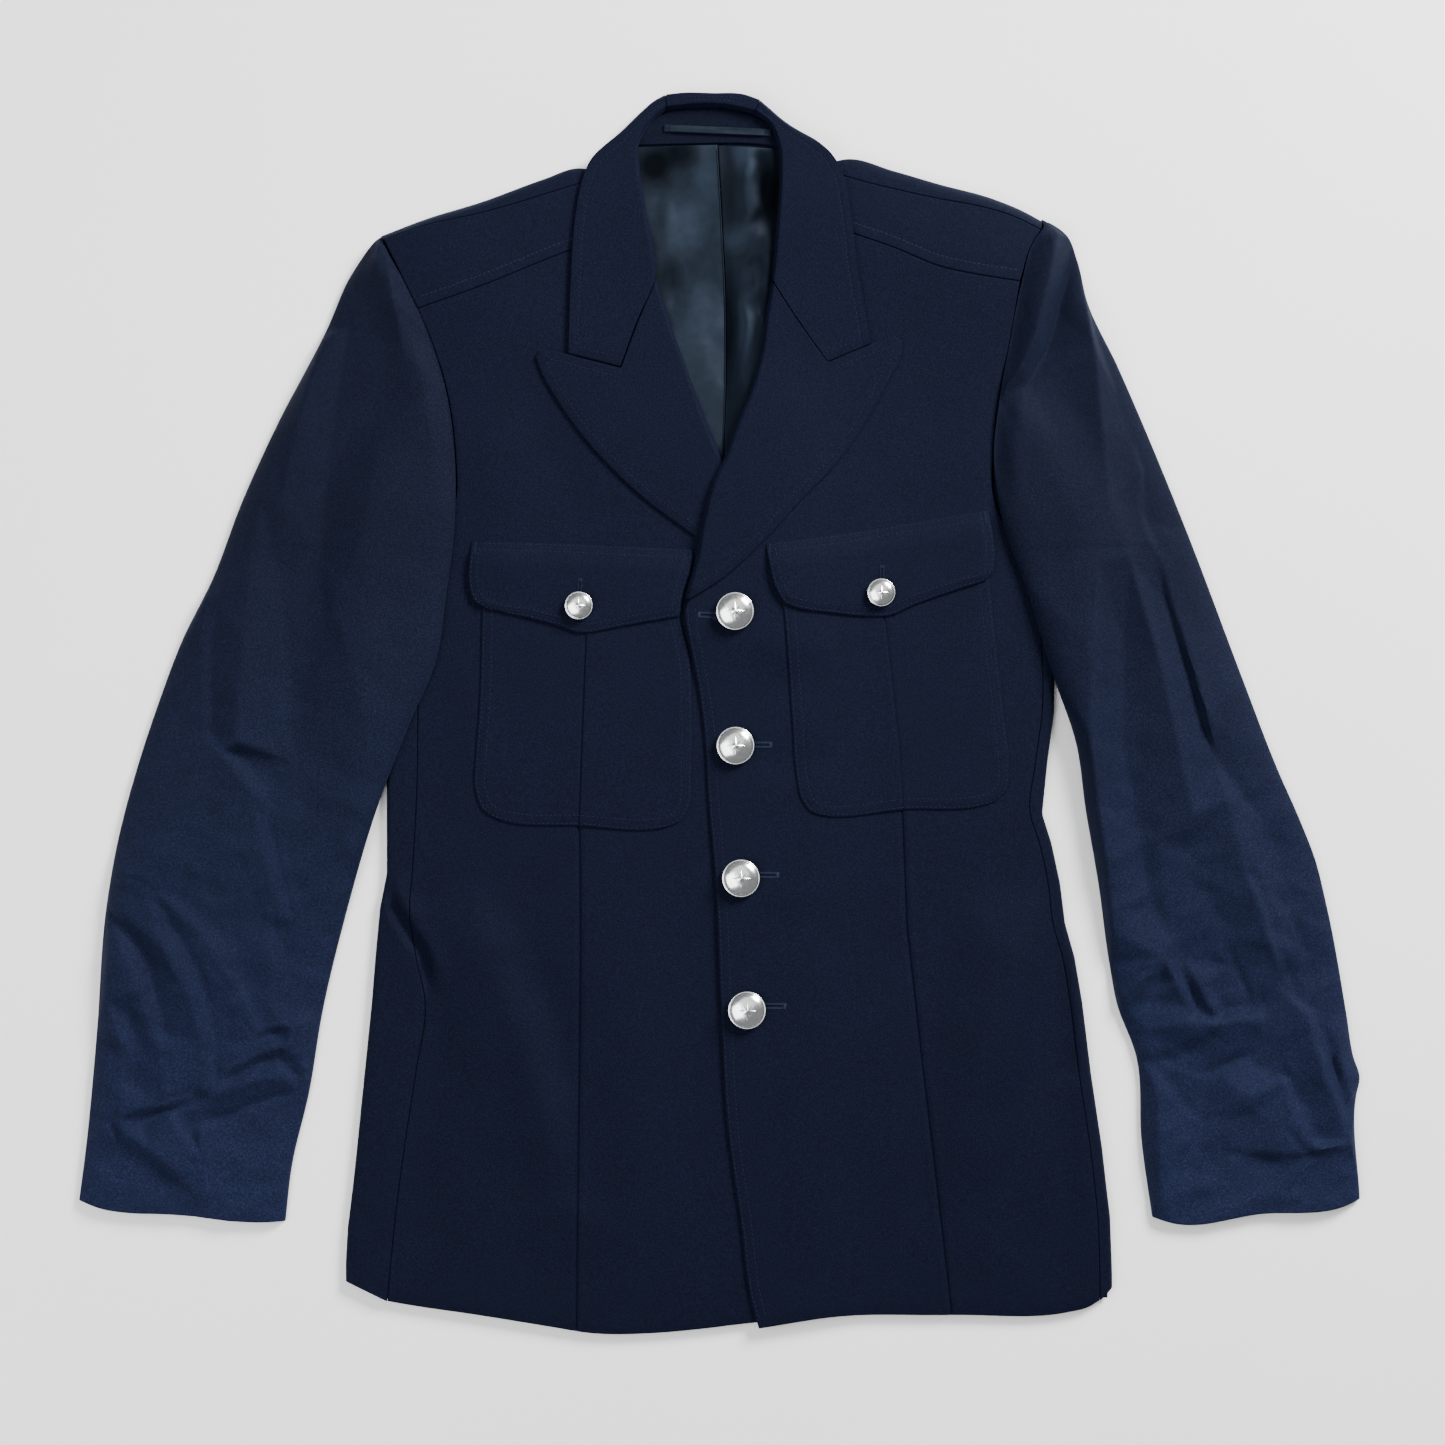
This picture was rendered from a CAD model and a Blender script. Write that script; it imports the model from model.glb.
"""Finished look of a navy wool dress uniform jacket that lies flat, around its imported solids.

Wearer's right is -X, wearer's left is +X, the collar is towards +Y and the front faces +Z.
Shapes are in millimetres. Meshes, cuts, lights and the lining's spots are in metres.
"""

import functools
import math

import bpy
import numpy as np
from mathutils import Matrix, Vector
from mathutils.bvhtree import BVHTree
from mathutils.geometry import delaunay_2d_cdt


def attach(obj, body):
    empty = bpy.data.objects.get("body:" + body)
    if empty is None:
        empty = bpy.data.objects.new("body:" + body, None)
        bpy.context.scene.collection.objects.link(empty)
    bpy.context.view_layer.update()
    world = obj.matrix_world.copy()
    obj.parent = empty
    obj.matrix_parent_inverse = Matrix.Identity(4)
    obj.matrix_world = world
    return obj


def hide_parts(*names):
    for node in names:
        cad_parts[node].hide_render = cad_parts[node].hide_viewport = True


MM = 0.001
SIGN = {"right": -1, "left": 1}


def line_of(text):
    """Rows of numbers from text: rows are parted by spaces, and the numbers of a row by commas."""
    return tuple(tuple(float(number) for number in row.split(",")) for row in text.split())


def lines_of(text):
    """Lines from text, parted by semicolons."""
    return tuple(line_of(part) for part in text.split(";"))


def sides(text):
    """A line for the wearer's right side and one for the left, from text."""
    return dict(zip(("right", "left"), lines_of(text)))


# Driving thicknesses of the cloth and the clearances between layers
BACK_WALL = 1.8
LINING_WALL = 1.0
FRONT_WALL = 2.2
YOKE_WALL = 2.5
LAPEL_WALL = 1.8
COLLAR_WALL = 2.2
POCKET_WALL = 1.4
FLAP_WALL = 1.8
SLEEVE_WALL = 2.0
LOOP_WALL = 0.8
SEAM = 0.3
LAYER = 0.5
INNER_SPACE = 1.9
FALL_WALL = 2.0
FALL_LIFT = 2.6
SLEEVE_SPACE = 3.2
SHOULDER_PAD = 6.0
ROLL_RADIUS = 5.0
FRONT_EDGE_LAP = 48.0

# Distance over which the shoulder's turned edge drops to the layer below
SHOULDER_RADIUS = 7.0

# Shoulder padding: x and y of its thickest point, and its spread in x and y
PAD_X, PAD_Y = 168.0, 285.0
PAD_SPREAD_X, PAD_SPREAD_Y = 66.0, 60.0

# The collar's fall under the neck lifts the layers above it, from this y on and this far to the sides
NECK_LIFT_Y, NECK_LIFT_RUN = 255.0, 75.0
NECK_LIFT_REACH, NECK_LIFT_FADE = 155.0, 70.0

# Where the sleeve comes down from the body's side to the surface
SLEEVE_DROP_REACH, SLEEVE_DROP_RUN = 56.0, 44.0
SLEEVE_LOW_Y, SLEEVE_LOW_RUN = -150.0, 90.0
ARMHOLE_SET_IN, ARMHOLE_Y, ARMHOLE_RUN = 46.0, 110.0, 110.0

# Shape of a button as shares of its radius
SHANK_SHARE = 0.26
DOME_SHARE = 0.42

# Buttons: four down the wearer's left front, and one on each pocket flap
FRONT_BUTTON_RADIUS = 11.8
POCKET_BUTTON_RADIUS = 8.7
FRONT_BUTTONS = ((9.3, 62.7), (9.6, -20.5), (13.0, -102.6), (16.7, -184.3))
POCKET_BUTTONS = {"right": (-87.4, 66.2), "left": (99.8, 74.3)}
SHANK_LENGTH = 1.6
# Rings of a button's dome as shares of its radius, the groove among them, and the star
DOME_RINGS = (0.90, 0.88, 0.86, 0.84, 0.80, 0.75, 0.70, 0.64, 0.57, 0.50, 0.42, 0.34, 0.26, 0.18, 0.10, 0.05)
GROOVE_SHARE, GROOVE_DEPTH = 0.88, 0.12
STAR_POINTS, STAR_PEAK = 8, 0.085

# A curve has a corner where the cosine of its turn is below this
CORNER_COSINE = 0.8

# How far the inner face of a rolled edge is set in at most
MOST_INSET = 2.2

# Curves are points of x and y, for the wearer's right side and then the left
ARMHOLE = sides("""-208.9,289.9 -195.3,266.3 -181,235.3 -169.3,196.8 -164.3,156.6 -164.3,133;
200.6,301 194.1,291.7 186.6,266.3 179.2,227.8 172.7,191.3 169.6,159.7 169.3,137.9""")
# Sleeves: the inner edge from the sleeve head down, the outer edge beside it, and the cuff
SLEEVE_INNER = sides("""-210,295.7 -208.1,290.6 -195.3,266.3 -181,235.3 -169.3,196.8 -164.3,156.6
-164.9,113.2 -169.9,72.8 -176.1,32.5 -192.2,-5.9 -208.3,-46.8 -230,-116.2 -247.4,-186.9 -255.4,-235.3
-266.6,-283.6 -270.3,-315.9; 200.2,305 200.9,301 194.4,291.7 186.8,266.3 179.4,227.8 172.9,191.3 169.8,159.7
174.8,120.9 189.7,78.4 206.8,22.6 221.3,-20.8 226.7,-58.6 235.6,-109.4 242.2,-155.9 246.8,-180.7
258.9,-213.6 262.3,-266.9 268.8,-313.4""")
SLEEVE_OUTER = sides("""-213.4,293.6 -230,270.6 -243.7,239.6 -277.1,175.2 -297.6,129.9 -315,84
-334.8,43.7 -348.4,7.8 -362.7,-35.6 -374.5,-80.3 -381.3,-119.3 -387.5,-199.9 -394.3,-271.2 -398.4,-302.9;
204,304.4 216.4,294.8 222,281.2 228.2,255.8 247.4,214.8 260.4,185.1 290.2,112.5 324.3,22.6 346.3,-34.4
361.8,-69.8 369.5,-89.6 377.3,-120.6 389.4,-186.9 393.7,-213.6 397.7,-227.2 395.6,-237.8 397.7,-302.2""")
CUFF = sides("""-270.3,-315.9 -285,-316.6 -335,-312 -388,-307 -398.4,-302.9; 268.8,-313.4
281,-317.2 335,-311.5 388,-306.5 397.7,-302.2""")
# Side body: y, x of the side fold, x of the seam that joins it to the front
SIDE = sides("""100,-200.5,-186 57,-203.4,-187 8,-205.8,-187.5 -42,-207.1,-188 -100,-207.1,-191
-122,-211.4,-192.5 -150,-214,-189 -180,-216.4,-183 -225,-221,-189 -271,-225.7,-196 -328,-231.3,-203
-353,-232.5,-206.5; 100,204.5,196.5 45,207.7,199.7 1,207.7,199.7 -32,203.4,195.4 -63,200.3,192.3 -81,206,198
-106,211.4,203.4 -131,214.5,206.5 -152,220.4,212.4 -180,225.1,217.1 -225,230.6,222.6 -271,237.5,229.5
-317,242.4,234.4 -357,243.7,235.7""")
SIDE_HEM_DROP = {"right": 12.5, "left": 8.0}
UNDERARM_EASE = 2.5
# Yoke seam and shoulder seam, from the neck out to the sleeve
YOKE_SEAM = sides("""-60,297 -91.8,286.8 -148.8,263.8 -187.2,250.2; 52,305 82.5,296.7 107.9,288
136.4,276.2 161.8,270.6 185.6,267""")
SHOULDER_SEAM = sides("""-62,335 -86.8,327.7 -148.8,309.1 -182.9,301.3 -208,292.6; 56,339 88.7,329
117.8,322 136.4,318 161.8,313 179.2,308 198.6,299""")
# The outer edge of the shoulder from the neck to the sleeve, and the back's top edge from the centre
SHOULDER_EDGE = sides("""-64,347 -80.6,337.5 -88,338 -109.1,331.4 -148.8,317.1 -182.9,306.6 -210.6,296;
57,350 69.4,341.8 78,343.6 107.9,336.4 136.4,328.3 168.6,319.6 189.7,310.9 199.6,305.4""")
BACK_TOP = sides("""-0.2,379.5 -30,377.5 -46,368 -62,352 -80.6,337.2 -90,336.2 -148.8,315.6 -183,305
-207.5,293.6; 0.2,379.5 20,377 38,363.5 56,352 69.4,341.6 80,341.6 107.9,334.8 136.4,326.8 168.6,318
199,304.6""")
# Lapel: the line on which it turns back
LAPEL_ROLL = sides("""-39.4,268.6 -32.2,246.4 -18.6,209.2 -7.4,178.2 2.5,155.3 12.4,128.7 20,104;
32.2,267.2 29.1,250.2 26,226.6 19.2,201.2 9.3,177 3.4,159.7 -3.7,145.4 -10.5,120 -14.3,98.3 -21.7,70.8""")
# Gorge seam down to the notch, then the top edge of the lapel out to its rounded point
LAPEL_TOP = sides("""-39.4,268.6 -50.9,242 -61.4,213.6 -84,219.2 -106.6,224.6 -111.6,224.8
-114.6,220.6; 32.2,267.2 49.4,241.1 66.8,216.9 80,222.6 94.2,228.3 108.2,233.2 113.2,230.6""")
LAPEL_OUTER = sides("""-114.6,220.6 -111,211.1 -99.2,190.7 -80.6,165.8 -49.6,134.8 -12.4,107 8,92;
113.2,230.6 112.2,220.7 104.2,204.9 88.7,177 74.4,156.6 50.8,131.8 29.1,108.2 0.6,82.2 -18,70.4""")
# Collar leaves: the outer edge and the inner edge, from the gorge up round the neck
COLLAR_OUTER = sides("""-93.9,222.6 -92.4,266.3 -89.5,306 -84.6,331.4 -80.6,341.3 -65.7,356.2 -50.2,371.7
-40.9,379.8 -34.1,383.5; 93.4,228.5 84.3,281.8 81.5,306 74.4,337.6 69.4,345.6 58.9,354.9 40.9,366.7
25.4,379.8""")
COLLAR_INNER = sides("""-62,214.6 -51.7,243 -40.3,270.2 -46,311.6 -50,339.4 -50.5,352.2 -43,365.5
-33,374; 67,217.6 49.7,242 32.4,268.3 35.1,301.6 37,329.5 36,351.2 31,363.9 21.5,371.5""")
# Share of the collar's outer edge that lies on the shoulder
LEAF_SHARE = 0.70
# Neck: the collar stand, the fall behind it, the facing, and the lining's centre seam and outer edges
STAND_TOP = line_of("""-33.6,383.5 -22.3,384.7 -5,384.4 15.5,383.5 24.9,380.2""")
STAND_FOOT = line_of("""-32.6,374.2 -16,376 4,375.6 21.1,371.8""")
FALL_TOP = line_of("""-80.6,341.3 -65.7,356.2 -50.2,371.7 -34.1,383.5 -5,384.4 25.4,379.8 40.9,366.7
58.9,354.9 69.4,345.6""")
FALL_FOOT = line_of("""-80.6,336 -40,331 -5,330 40,334 69.4,340""")
FACING_TOP = line_of("""-52,360 -33,372.6 -16,374.4 4,374 21.5,370 40,358""")
FACING_FOOT = line_of("""-56,352 -20,352.9 20,353 46,350""")
LINING_CENTRE = line_of("""-1.5,352.2 1.2,305.4 3.4,258.2 3.7,206.2 2.5,164.6 2,140""")
LINING_OUTER = sides("""-62,351 -60,310 -53,268 -40,225 -26,190 -14,150; 52,349 48,310 45,268 38,225
28,190 18,150""")
# Hanger loop
LOOP_ENDS = ((-34.9, 362.6), (31.9, 359.6))
LOOP_WIDTH = 4.4
# Fronts: the inner edge from the neck to the hem, the hem outward, and the way from armhole to side
FRONT_INNER = sides("""-60,297 -50,282 -42,265 -36.2,245 -22.4,208 -11.2,177 -0.7,154 8.8,127 15.5,104
20,92 36,60 41,0 43,-100 46,-250 48,-377; 52,305 42,288 36.4,267 33.2,249.8 30.2,226 23.2,200 12.4,175.6
6.4,158.2 -0.6,144.2 -7.4,119.4 -11.4,97.8 -19.4,70 -21.7,64 -20.5,51.1 -17.4,35.6 -12.4,7.8 -9.3,-20.1
-7.8,-48.7 -3.1,-103.8 0.2,-179.5 4.8,-259.5 12.8,-317.1 19.8,-367.4 24.2,-382.2""")
HEM = sides("""48,-377 19.8,-379.1 -12.4,-382.9 -39.7,-385.3 -81.2,-385.3 -104.2,-381.6
-150,-374.2 -195.9,-367.4 -206.5,-365.5; 24.2,-382.2 68.2,-375.4 143.8,-374.2 217,-372.3 228,-369.6
235.7,-365""")
UNDERARM = sides("""-172,112 -186,100; 178,114 196.5,100""")
# Pocket: lower corners are rounded, the mouth is hidden by the flap
POCKET_INNER = sides("""-24.5,85 -24.8,60 -21.9,48 -19,35 -17.5,10.8 -17.6,-38.8 -18.6,-57.4 -24,-67
-33,-71.6; 36,93 39.6,62 44.6,-4.7 47.7,-42.5 50,-53 55.8,-61.1 65.1,-64.8""")
POCKET_OUTER = sides("""-146.5,88 -147.6,64.8 -149.4,3.4 -151.5,-24.5 -151.9,-48.7 -148.2,-59.2
-138.3,-66.7; 165,104 168,75 172.4,32.5 176.7,-4.7 179.5,-35 178.6,-46.8 171,-55.6""")
POCKET_FOOT = sides("""-33,-71.6 -41.5,-72.8 -88,-70.4 -130.8,-68.5 -138.3,-66.7; 65.1,-64.8 76.9,-64.8
112.8,-60.5 162,-58.2 171,-55.6""")
FLAP_TOP = sides("""-15.8,101.4 -45.3,102.6 -102.3,105.1 -154.4,106.3; 28.1,104.5 68.2,109.7
112.8,116.9 166.6,125.6""")
FLAP_FOOT = sides("""-25,59.6 -31,58.6 -59.5,53.6 -82.5,49.5 -88,49.5 -99.8,53.6 -116.6,58
-147.2,65.2; 39.7,67.3 47.1,64.8 68.2,61.7 94.9,59.5 104.2,59.8 120.6,66.7 150.7,77.2 164.5,81.6""")
FLAP_INNER = sides("""-15.8,101.4 -18.4,88 -22.8,74 -25,59.6; 28.1,104.5 30.4,92.7 33.5,79 39.7,67.3""")
FLAP_OUTER = sides("""-154.4,106.3 -154.7,74.7 -152.5,69.1 -147.2,65.2; 166.6,125.6 170.2,92.7
169.3,87.1 164.5,81.6""")
# How far below its top edge a flap reaches its full height over the pocket
FLAP_HINGE = 16.0
# Backs: the seam to the side body under the jacket, and the hem from the centre outward
BACK_SIDE_SEAM = sides("""-158,136 -147,114 -147,60 -148,0 -152,-100 -164,-220 -177.2,-353; 163,138
149.5,116 149,60 150,0 154,-100 168,-220 188.4,-357""")
BACK_HEM = sides("""-0.2,-372 -100,-369 -177.2,-359; 0.2,-372 100,-370 188.4,-360""")

# Steps of the nets inward from an edge: on side bodies, on plain edges and on stitched edges
SIDE_STEPS = (0, 0.25, 0.6, 1.1, 1.9)
EDGE_STEPS = (0, 0.25, 0.6, 1.1, 1.8, 3.0)
EDGE_STEPS_SEWN = (0, 0.25, 0.6, 1.1, 1.8, 2.8, 3.8, 4.6, 5.2, 5.6, 6.1, 6.6, 7.2, 8.4, 10.0)

# Sewing: the dip and the puff that stitches pull, and the sizes of thread and stitches
STITCH_DIP = 0.10
EDGE_PUFF = 0.05
THREAD = 0.40
STITCH = 2.2
STITCH_GAP = 0.7
STITCH_SINK = 0.25
LIP_SPACING = 0.52

# Edges that are rounded less than this aren't pressed, and how far in a pressed edge is thinner
FLAT_EDGE = 0.56
PRESSED_REACH = 7.0

# How far in from the edge the rows of stitches run
LAPEL_ROW, COLLAR_ROW, YOKE_ROW = 5.6, 5.6, 6.8
FRONT_ROWS, POCKET_ROWS, FLAP_ROWS = (1.6, 6.5), (1.5, 6.5), (1.4, 5.4)

# Height of the slow unevenness of the body, how much fuller the sleeves are than flat, and their own
SWELL = 0.28
SLEEVE_FULLNESS = 1.6
SLEEVE_LOFT, SLEEVE_SWELL = 0.8, 0.3

# How far from the armhole and from its top the sleeve head is shaped
HEAD_REACH, HEAD_TOP_REACH = 30.0, 12.0

# Gap between the layers of the sewn-on pockets and flaps
POCKET_GAP = 0.15

# How far the shoulder runs on under the sleeve head
SHOULDER_OVERLAP = 0.3

# How much the folds of the sleeves rise, and the small facets between them
FOLD_RISE = 2.4
CRUMPLE = 1.9

# Phases of the unevenness of each side
BODY_SEED = {"right": 3, "left": 8}
SLEEVE_SEED = {"right": 2, "left": 6}
CRUMPLE_SEED = {"right": 4, "left": 7}

# Camera and light
LENS, SENSOR = 85.0, 36.0
VIEW_CENTRE = (1.55, -6.2)
VIEW_WIDTH = 895.9
WORLD_LIGHT = 0.24
FLOOR_REACH, FLOOR_DROP = 4.0, -0.0004
# Each light: name, place, width and length, power in watts, and colour
LIGHTS = (
    ("key", (1.5, 1.6, 1.35), (0.9, 0.9), 190.0, (1.0, 0.99, 0.98)),
    ("fill", (-1.0, -0.4, 1.5), (1.4, 1.4), 32.0, (0.98, 0.99, 1.0)),
    ("over", (-0.4, 0.5, 2.75), (3.2, 2.4), 26.0, (1.0, 1.0, 1.0)),
)

# Colours of the cloth, the lining and the thread
WHITE = (1.0, 1.0, 1.0)
NAVY = (0.0014, 0.0023, 0.0086)
NAVY_SLEEVE = (0.0021, 0.0031, 0.0094)
LINING_DARK = (0.0015, 0.0025, 0.0050)
LINING_PALE = (0.0072, 0.0102, 0.0160)
NAVY_INSIDE = (0.0010, 0.0016, 0.0062)
# Soft oval patches of the lining: x, y, reach in x, reach in y, and how much lighter or darker
LINING_SPOTS = sides("""-0.0405,0.3395,0.019,0.021,0.16 -0.0245,0.3475,0.014,0.013,0.35
-0.023,0.302,0.018,0.024,1.7 -0.009,0.335,0.01,0.026,1.3 -0.032,0.27,0.012,0.016,0.45
-0.013,0.244,0.016,0.03,1.4; 0.03,0.323,0.013,0.034,0.2 0.0045,0.323,0.008,0.03,0.45
0.0155,0.348,0.01,0.018,2.4 0.02,0.326,0.006,0.02,2.2 0.009,0.294,0.01,0.012,1.8 0.005,0.24,0.007,0.05,0.4
0.016,0.24,0.006,0.04,1.8""")
THREAD_NAVY = (0.0095, 0.0140, 0.0310)
THREAD_WORN = (0.016, 0.023, 0.046)

# Seam lines down the fronts, and the fold of each pocket's pleat
DART = sides("""-86,220 -82.8,49.3 -84.6,3.4 -87.4,-69 -86.8,-147 -88,-253 -89.3,-384; 104,220
103,59.2 108,10.2 110.8,-24.5 113,-60.5 115.9,-133.6 125.2,-216 134.5,-294 143.8,-374""")
PLEAT = sides("""-82.8,90 -82.8,49.3 -84.6,3.4 -87.4,-74; 100,98 101.4,59.2 107.1,10.2 110.8,-24.5
113.1,-64""")

# Creases: height, width to the right and to the left of the line as it runs, and then the line's points
BODY_CREASES = {"right": lines_of("""
-3.12,2.6,4 -210.2,-107.6 -203.4,-121.2 -195.3,-134.8 -186,-148.5 -181,-172.1;
-1.04,4,7 -195.9,-133.6 -188.5,-153.4 -179.8,-178.2; 1.17,5,8 -200.9,-98.9 -195.9,-116.2 -186,-131.8;
-0.91,14,18 -108.5,-153.4 -99.2,-203.1 -91.8,-246.4; -0.91,12,16 -173.6,-184.4 -179.8,-240.2 -187.2,-296.1
-195.3,-351.9; 1.04,18,22 -148.8,-91.5 -155,-165.8 -160,-240.2 -164.3,-333.2; -0.78,16,18 -117.8,-85.2
-122.8,-165.8 -129,-252.7 -133.3,-345.6; 0.78,20,22 -49.6,-91.5 -54.6,-178.2 -57,-271.2 -60.8,-358.1;
-0.65,18,18 -18.6,-116.2 -19.8,-203.1 -18.6,-302.2; 0.91,16,20 -155,181.3 -136.4,119.3 -136.4,57.4;
-0.78,14,18 -124,206.2 -99.2,150.3 -80.6,107; 0.65,14,14 -173.6,45 -155,7.8 -148.8,-48; -0.65,10,14
-167.4,94.5 -148.8,76 -111.6,69.8
"""), "left": lines_of("""
-0.91,14,18 222,-141.1 204.6,-203.1 192.2,-252.7; 1.04,16,22 230.6,-116.2
229.4,-178.2 232.5,-252.7 235.6,-339.4; -0.91,12,16 212,-91.5 210.8,-165.8 215.8,-252.7 220.1,-339.4;
0.78,20,22 161.2,-91.5 167.4,-172.1 174.8,-258.9 181,-345.6; -0.65,16,18 74.4,-91.5 78.1,-172.1 84.3,-258.9
90.5,-351.9; 0.65,18,20 43.4,-116.2 44.6,-203.1 49.6,-289.9 54.6,-358.1; 0.91,16,20 173.6,181.3 164.3,119.3
164.3,57.4; -0.78,14,18 142.6,206.2 120.9,150.3 99.2,107; 0.78,10,12 15.5,45 43.4,38.8 74.4,45; -0.65,10,12
18.6,-29.4 43.4,-32.5 71.3,-23.2; 0.65,10,14 21.7,-110 49.6,-116.2 80.6,-110
""")}
SLEEVE_CREASES = {"right": lines_of("""
-0.78,1.8,2.4 -311.2,-18.9 -296.4,-31.3 -284,-48 -274.7,-61.7; -0.83,1.8,2.4
-286.4,-60.5 -280.2,-71 -275.9,-89.6 -270.9,-110 -266.6,-126.8; -0.46,2.2,2.6 -282.1,-4.7 -274.7,-21.4
-267.8,-37.5; -0.46,3,3.4 -328.6,-56.1 -342.2,-72.8 -353.4,-99.5; -0.83,1.6,2 -379.4,-102.6 -358.4,-105.1
-348.4,-111.9; -0.6,1.8,2.6 -352.2,-114.4 -336,-137.9 -323.6,-157.8 -318.7,-180.1 -315,-219.8; -0.55,1.8,2.4
-370.8,-128.7 -359.6,-144.2 -348.4,-162.8; -0.6,1.8,2.4 -367,-157.8 -358.4,-180.1 -351.5,-201.2;
-0.64,1.8,2.6 -321.2,-153.4 -302.6,-172.1 -292.6,-195 -288.3,-203.1; -0.46,2,2.4 -275.9,-111.9 -277.8,-133
-282.1,-155.3; -0.83,1.6,2 -290.2,-204.9 -275.9,-198.1 -265.4,-196.8; -0.69,1.8,2.2 -308.8,-219.8
-296.4,-213.6 -277.8,-208 -266.6,-209.2; -0.69,1.8,2.2 -275.9,-209.2 -267.8,-223.5 -255.4,-226;
-0.87,1.8,2.2 -374.5,-258.9 -360.8,-248.3 -354.6,-244.6 -339.8,-239 -324.9,-234.1; -0.78,1.8,2.4
-325.5,-257.6 -313.1,-253.9 -296.4,-246.4 -275.9,-239 -257.9,-235.9; -0.78,1.6,1.8 -337.9,-249.6
-332.9,-258.9 -328.6,-266.3; -0.46,1.8,2.2 -317.4,-257 -317.4,-268.1 -317.4,-281.2; -0.51,2,2.4
-370.8,-261.3 -358.4,-271.2 -346,-282.4 -330.5,-298.5; -0.6,1.8,2.2 -393.1,-240.2 -381.3,-254.5
-369.5,-258.2; 0.37,1.6,1.8 -348.4,-111.9 -328.6,-131.8 -308.8,-150.3; -0.46,2,2.6 -384.4,-178.2
-376.3,-203.1 -379.4,-227.8; -0.46,2,2.4 -346,-209.2 -339.8,-222.9 -342.2,-235.3; -0.37,2.4,3 -297.6,-103.8
-302.6,-128.7 -297.6,-147.2; 1.15,12,12 -241.8,57.4 -249.2,-4.7 -260.4,-48; -1.15,4,6 -339.8,30.7
-353.4,-1.6 -362.1,-38.8
"""), "left": lines_of("""
-0.64,1.8,2.4 311.2,-141.1 321.2,-160.9 328,-177; -0.74,2,3 321.2,-89
331.7,-103.8 337.9,-119.3 344.1,-142.3 350.3,-156.6 357.7,-175.2 361.5,-186.9; -0.55,2,2.6 337.9,-103.8
354.6,-127.4 365.8,-159.7 367.7,-177; -0.64,1.8,2.2 332.9,-163.4 334.8,-178.2 332.3,-193.1; -0.83,1.6,2.2
280.9,-155.3 288.3,-168.9 295.7,-177; -0.83,1.8,2.4 245.5,-175.8 261.6,-160.9 274.7,-157.2; -0.55,2,2.8
266.6,-208 288.3,-220.4 303.8,-223.5 322.4,-215.4 342.2,-205.5; -0.78,1.8,2.4 367.7,-197.5 378.2,-215.4
384.4,-227.8 388.1,-246.4; -0.78,1.6,2.2 347.8,-216.1 354.6,-237.2 358.4,-252.7; -0.78,1.6,2.2 349.1,-257
359.6,-269.4 367,-276.8; -0.78,1.8,2.2 344.7,-276.2 362.7,-275.6 390,-270.6; -0.51,2.4,3 277.1,-230.9
285.2,-240.2 300.1,-253.9 294.5,-266.3 283.3,-281.8 280.2,-298.5; -0.69,4.5,6 217.6,293.6 215.8,271.2
208.3,248.3 201.5,222.9 186,200.6 173.6,188.2; -0.37,2,2.6 291.4,-184.4 300.7,-196.8 313.7,-206.8;
-0.37,2,2.6 317.4,-229.1 326.1,-239 339.8,-247.7; -0.37,3,4 251.1,-209.2 260.4,-224.8 264.1,-246.4
""")}
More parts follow.
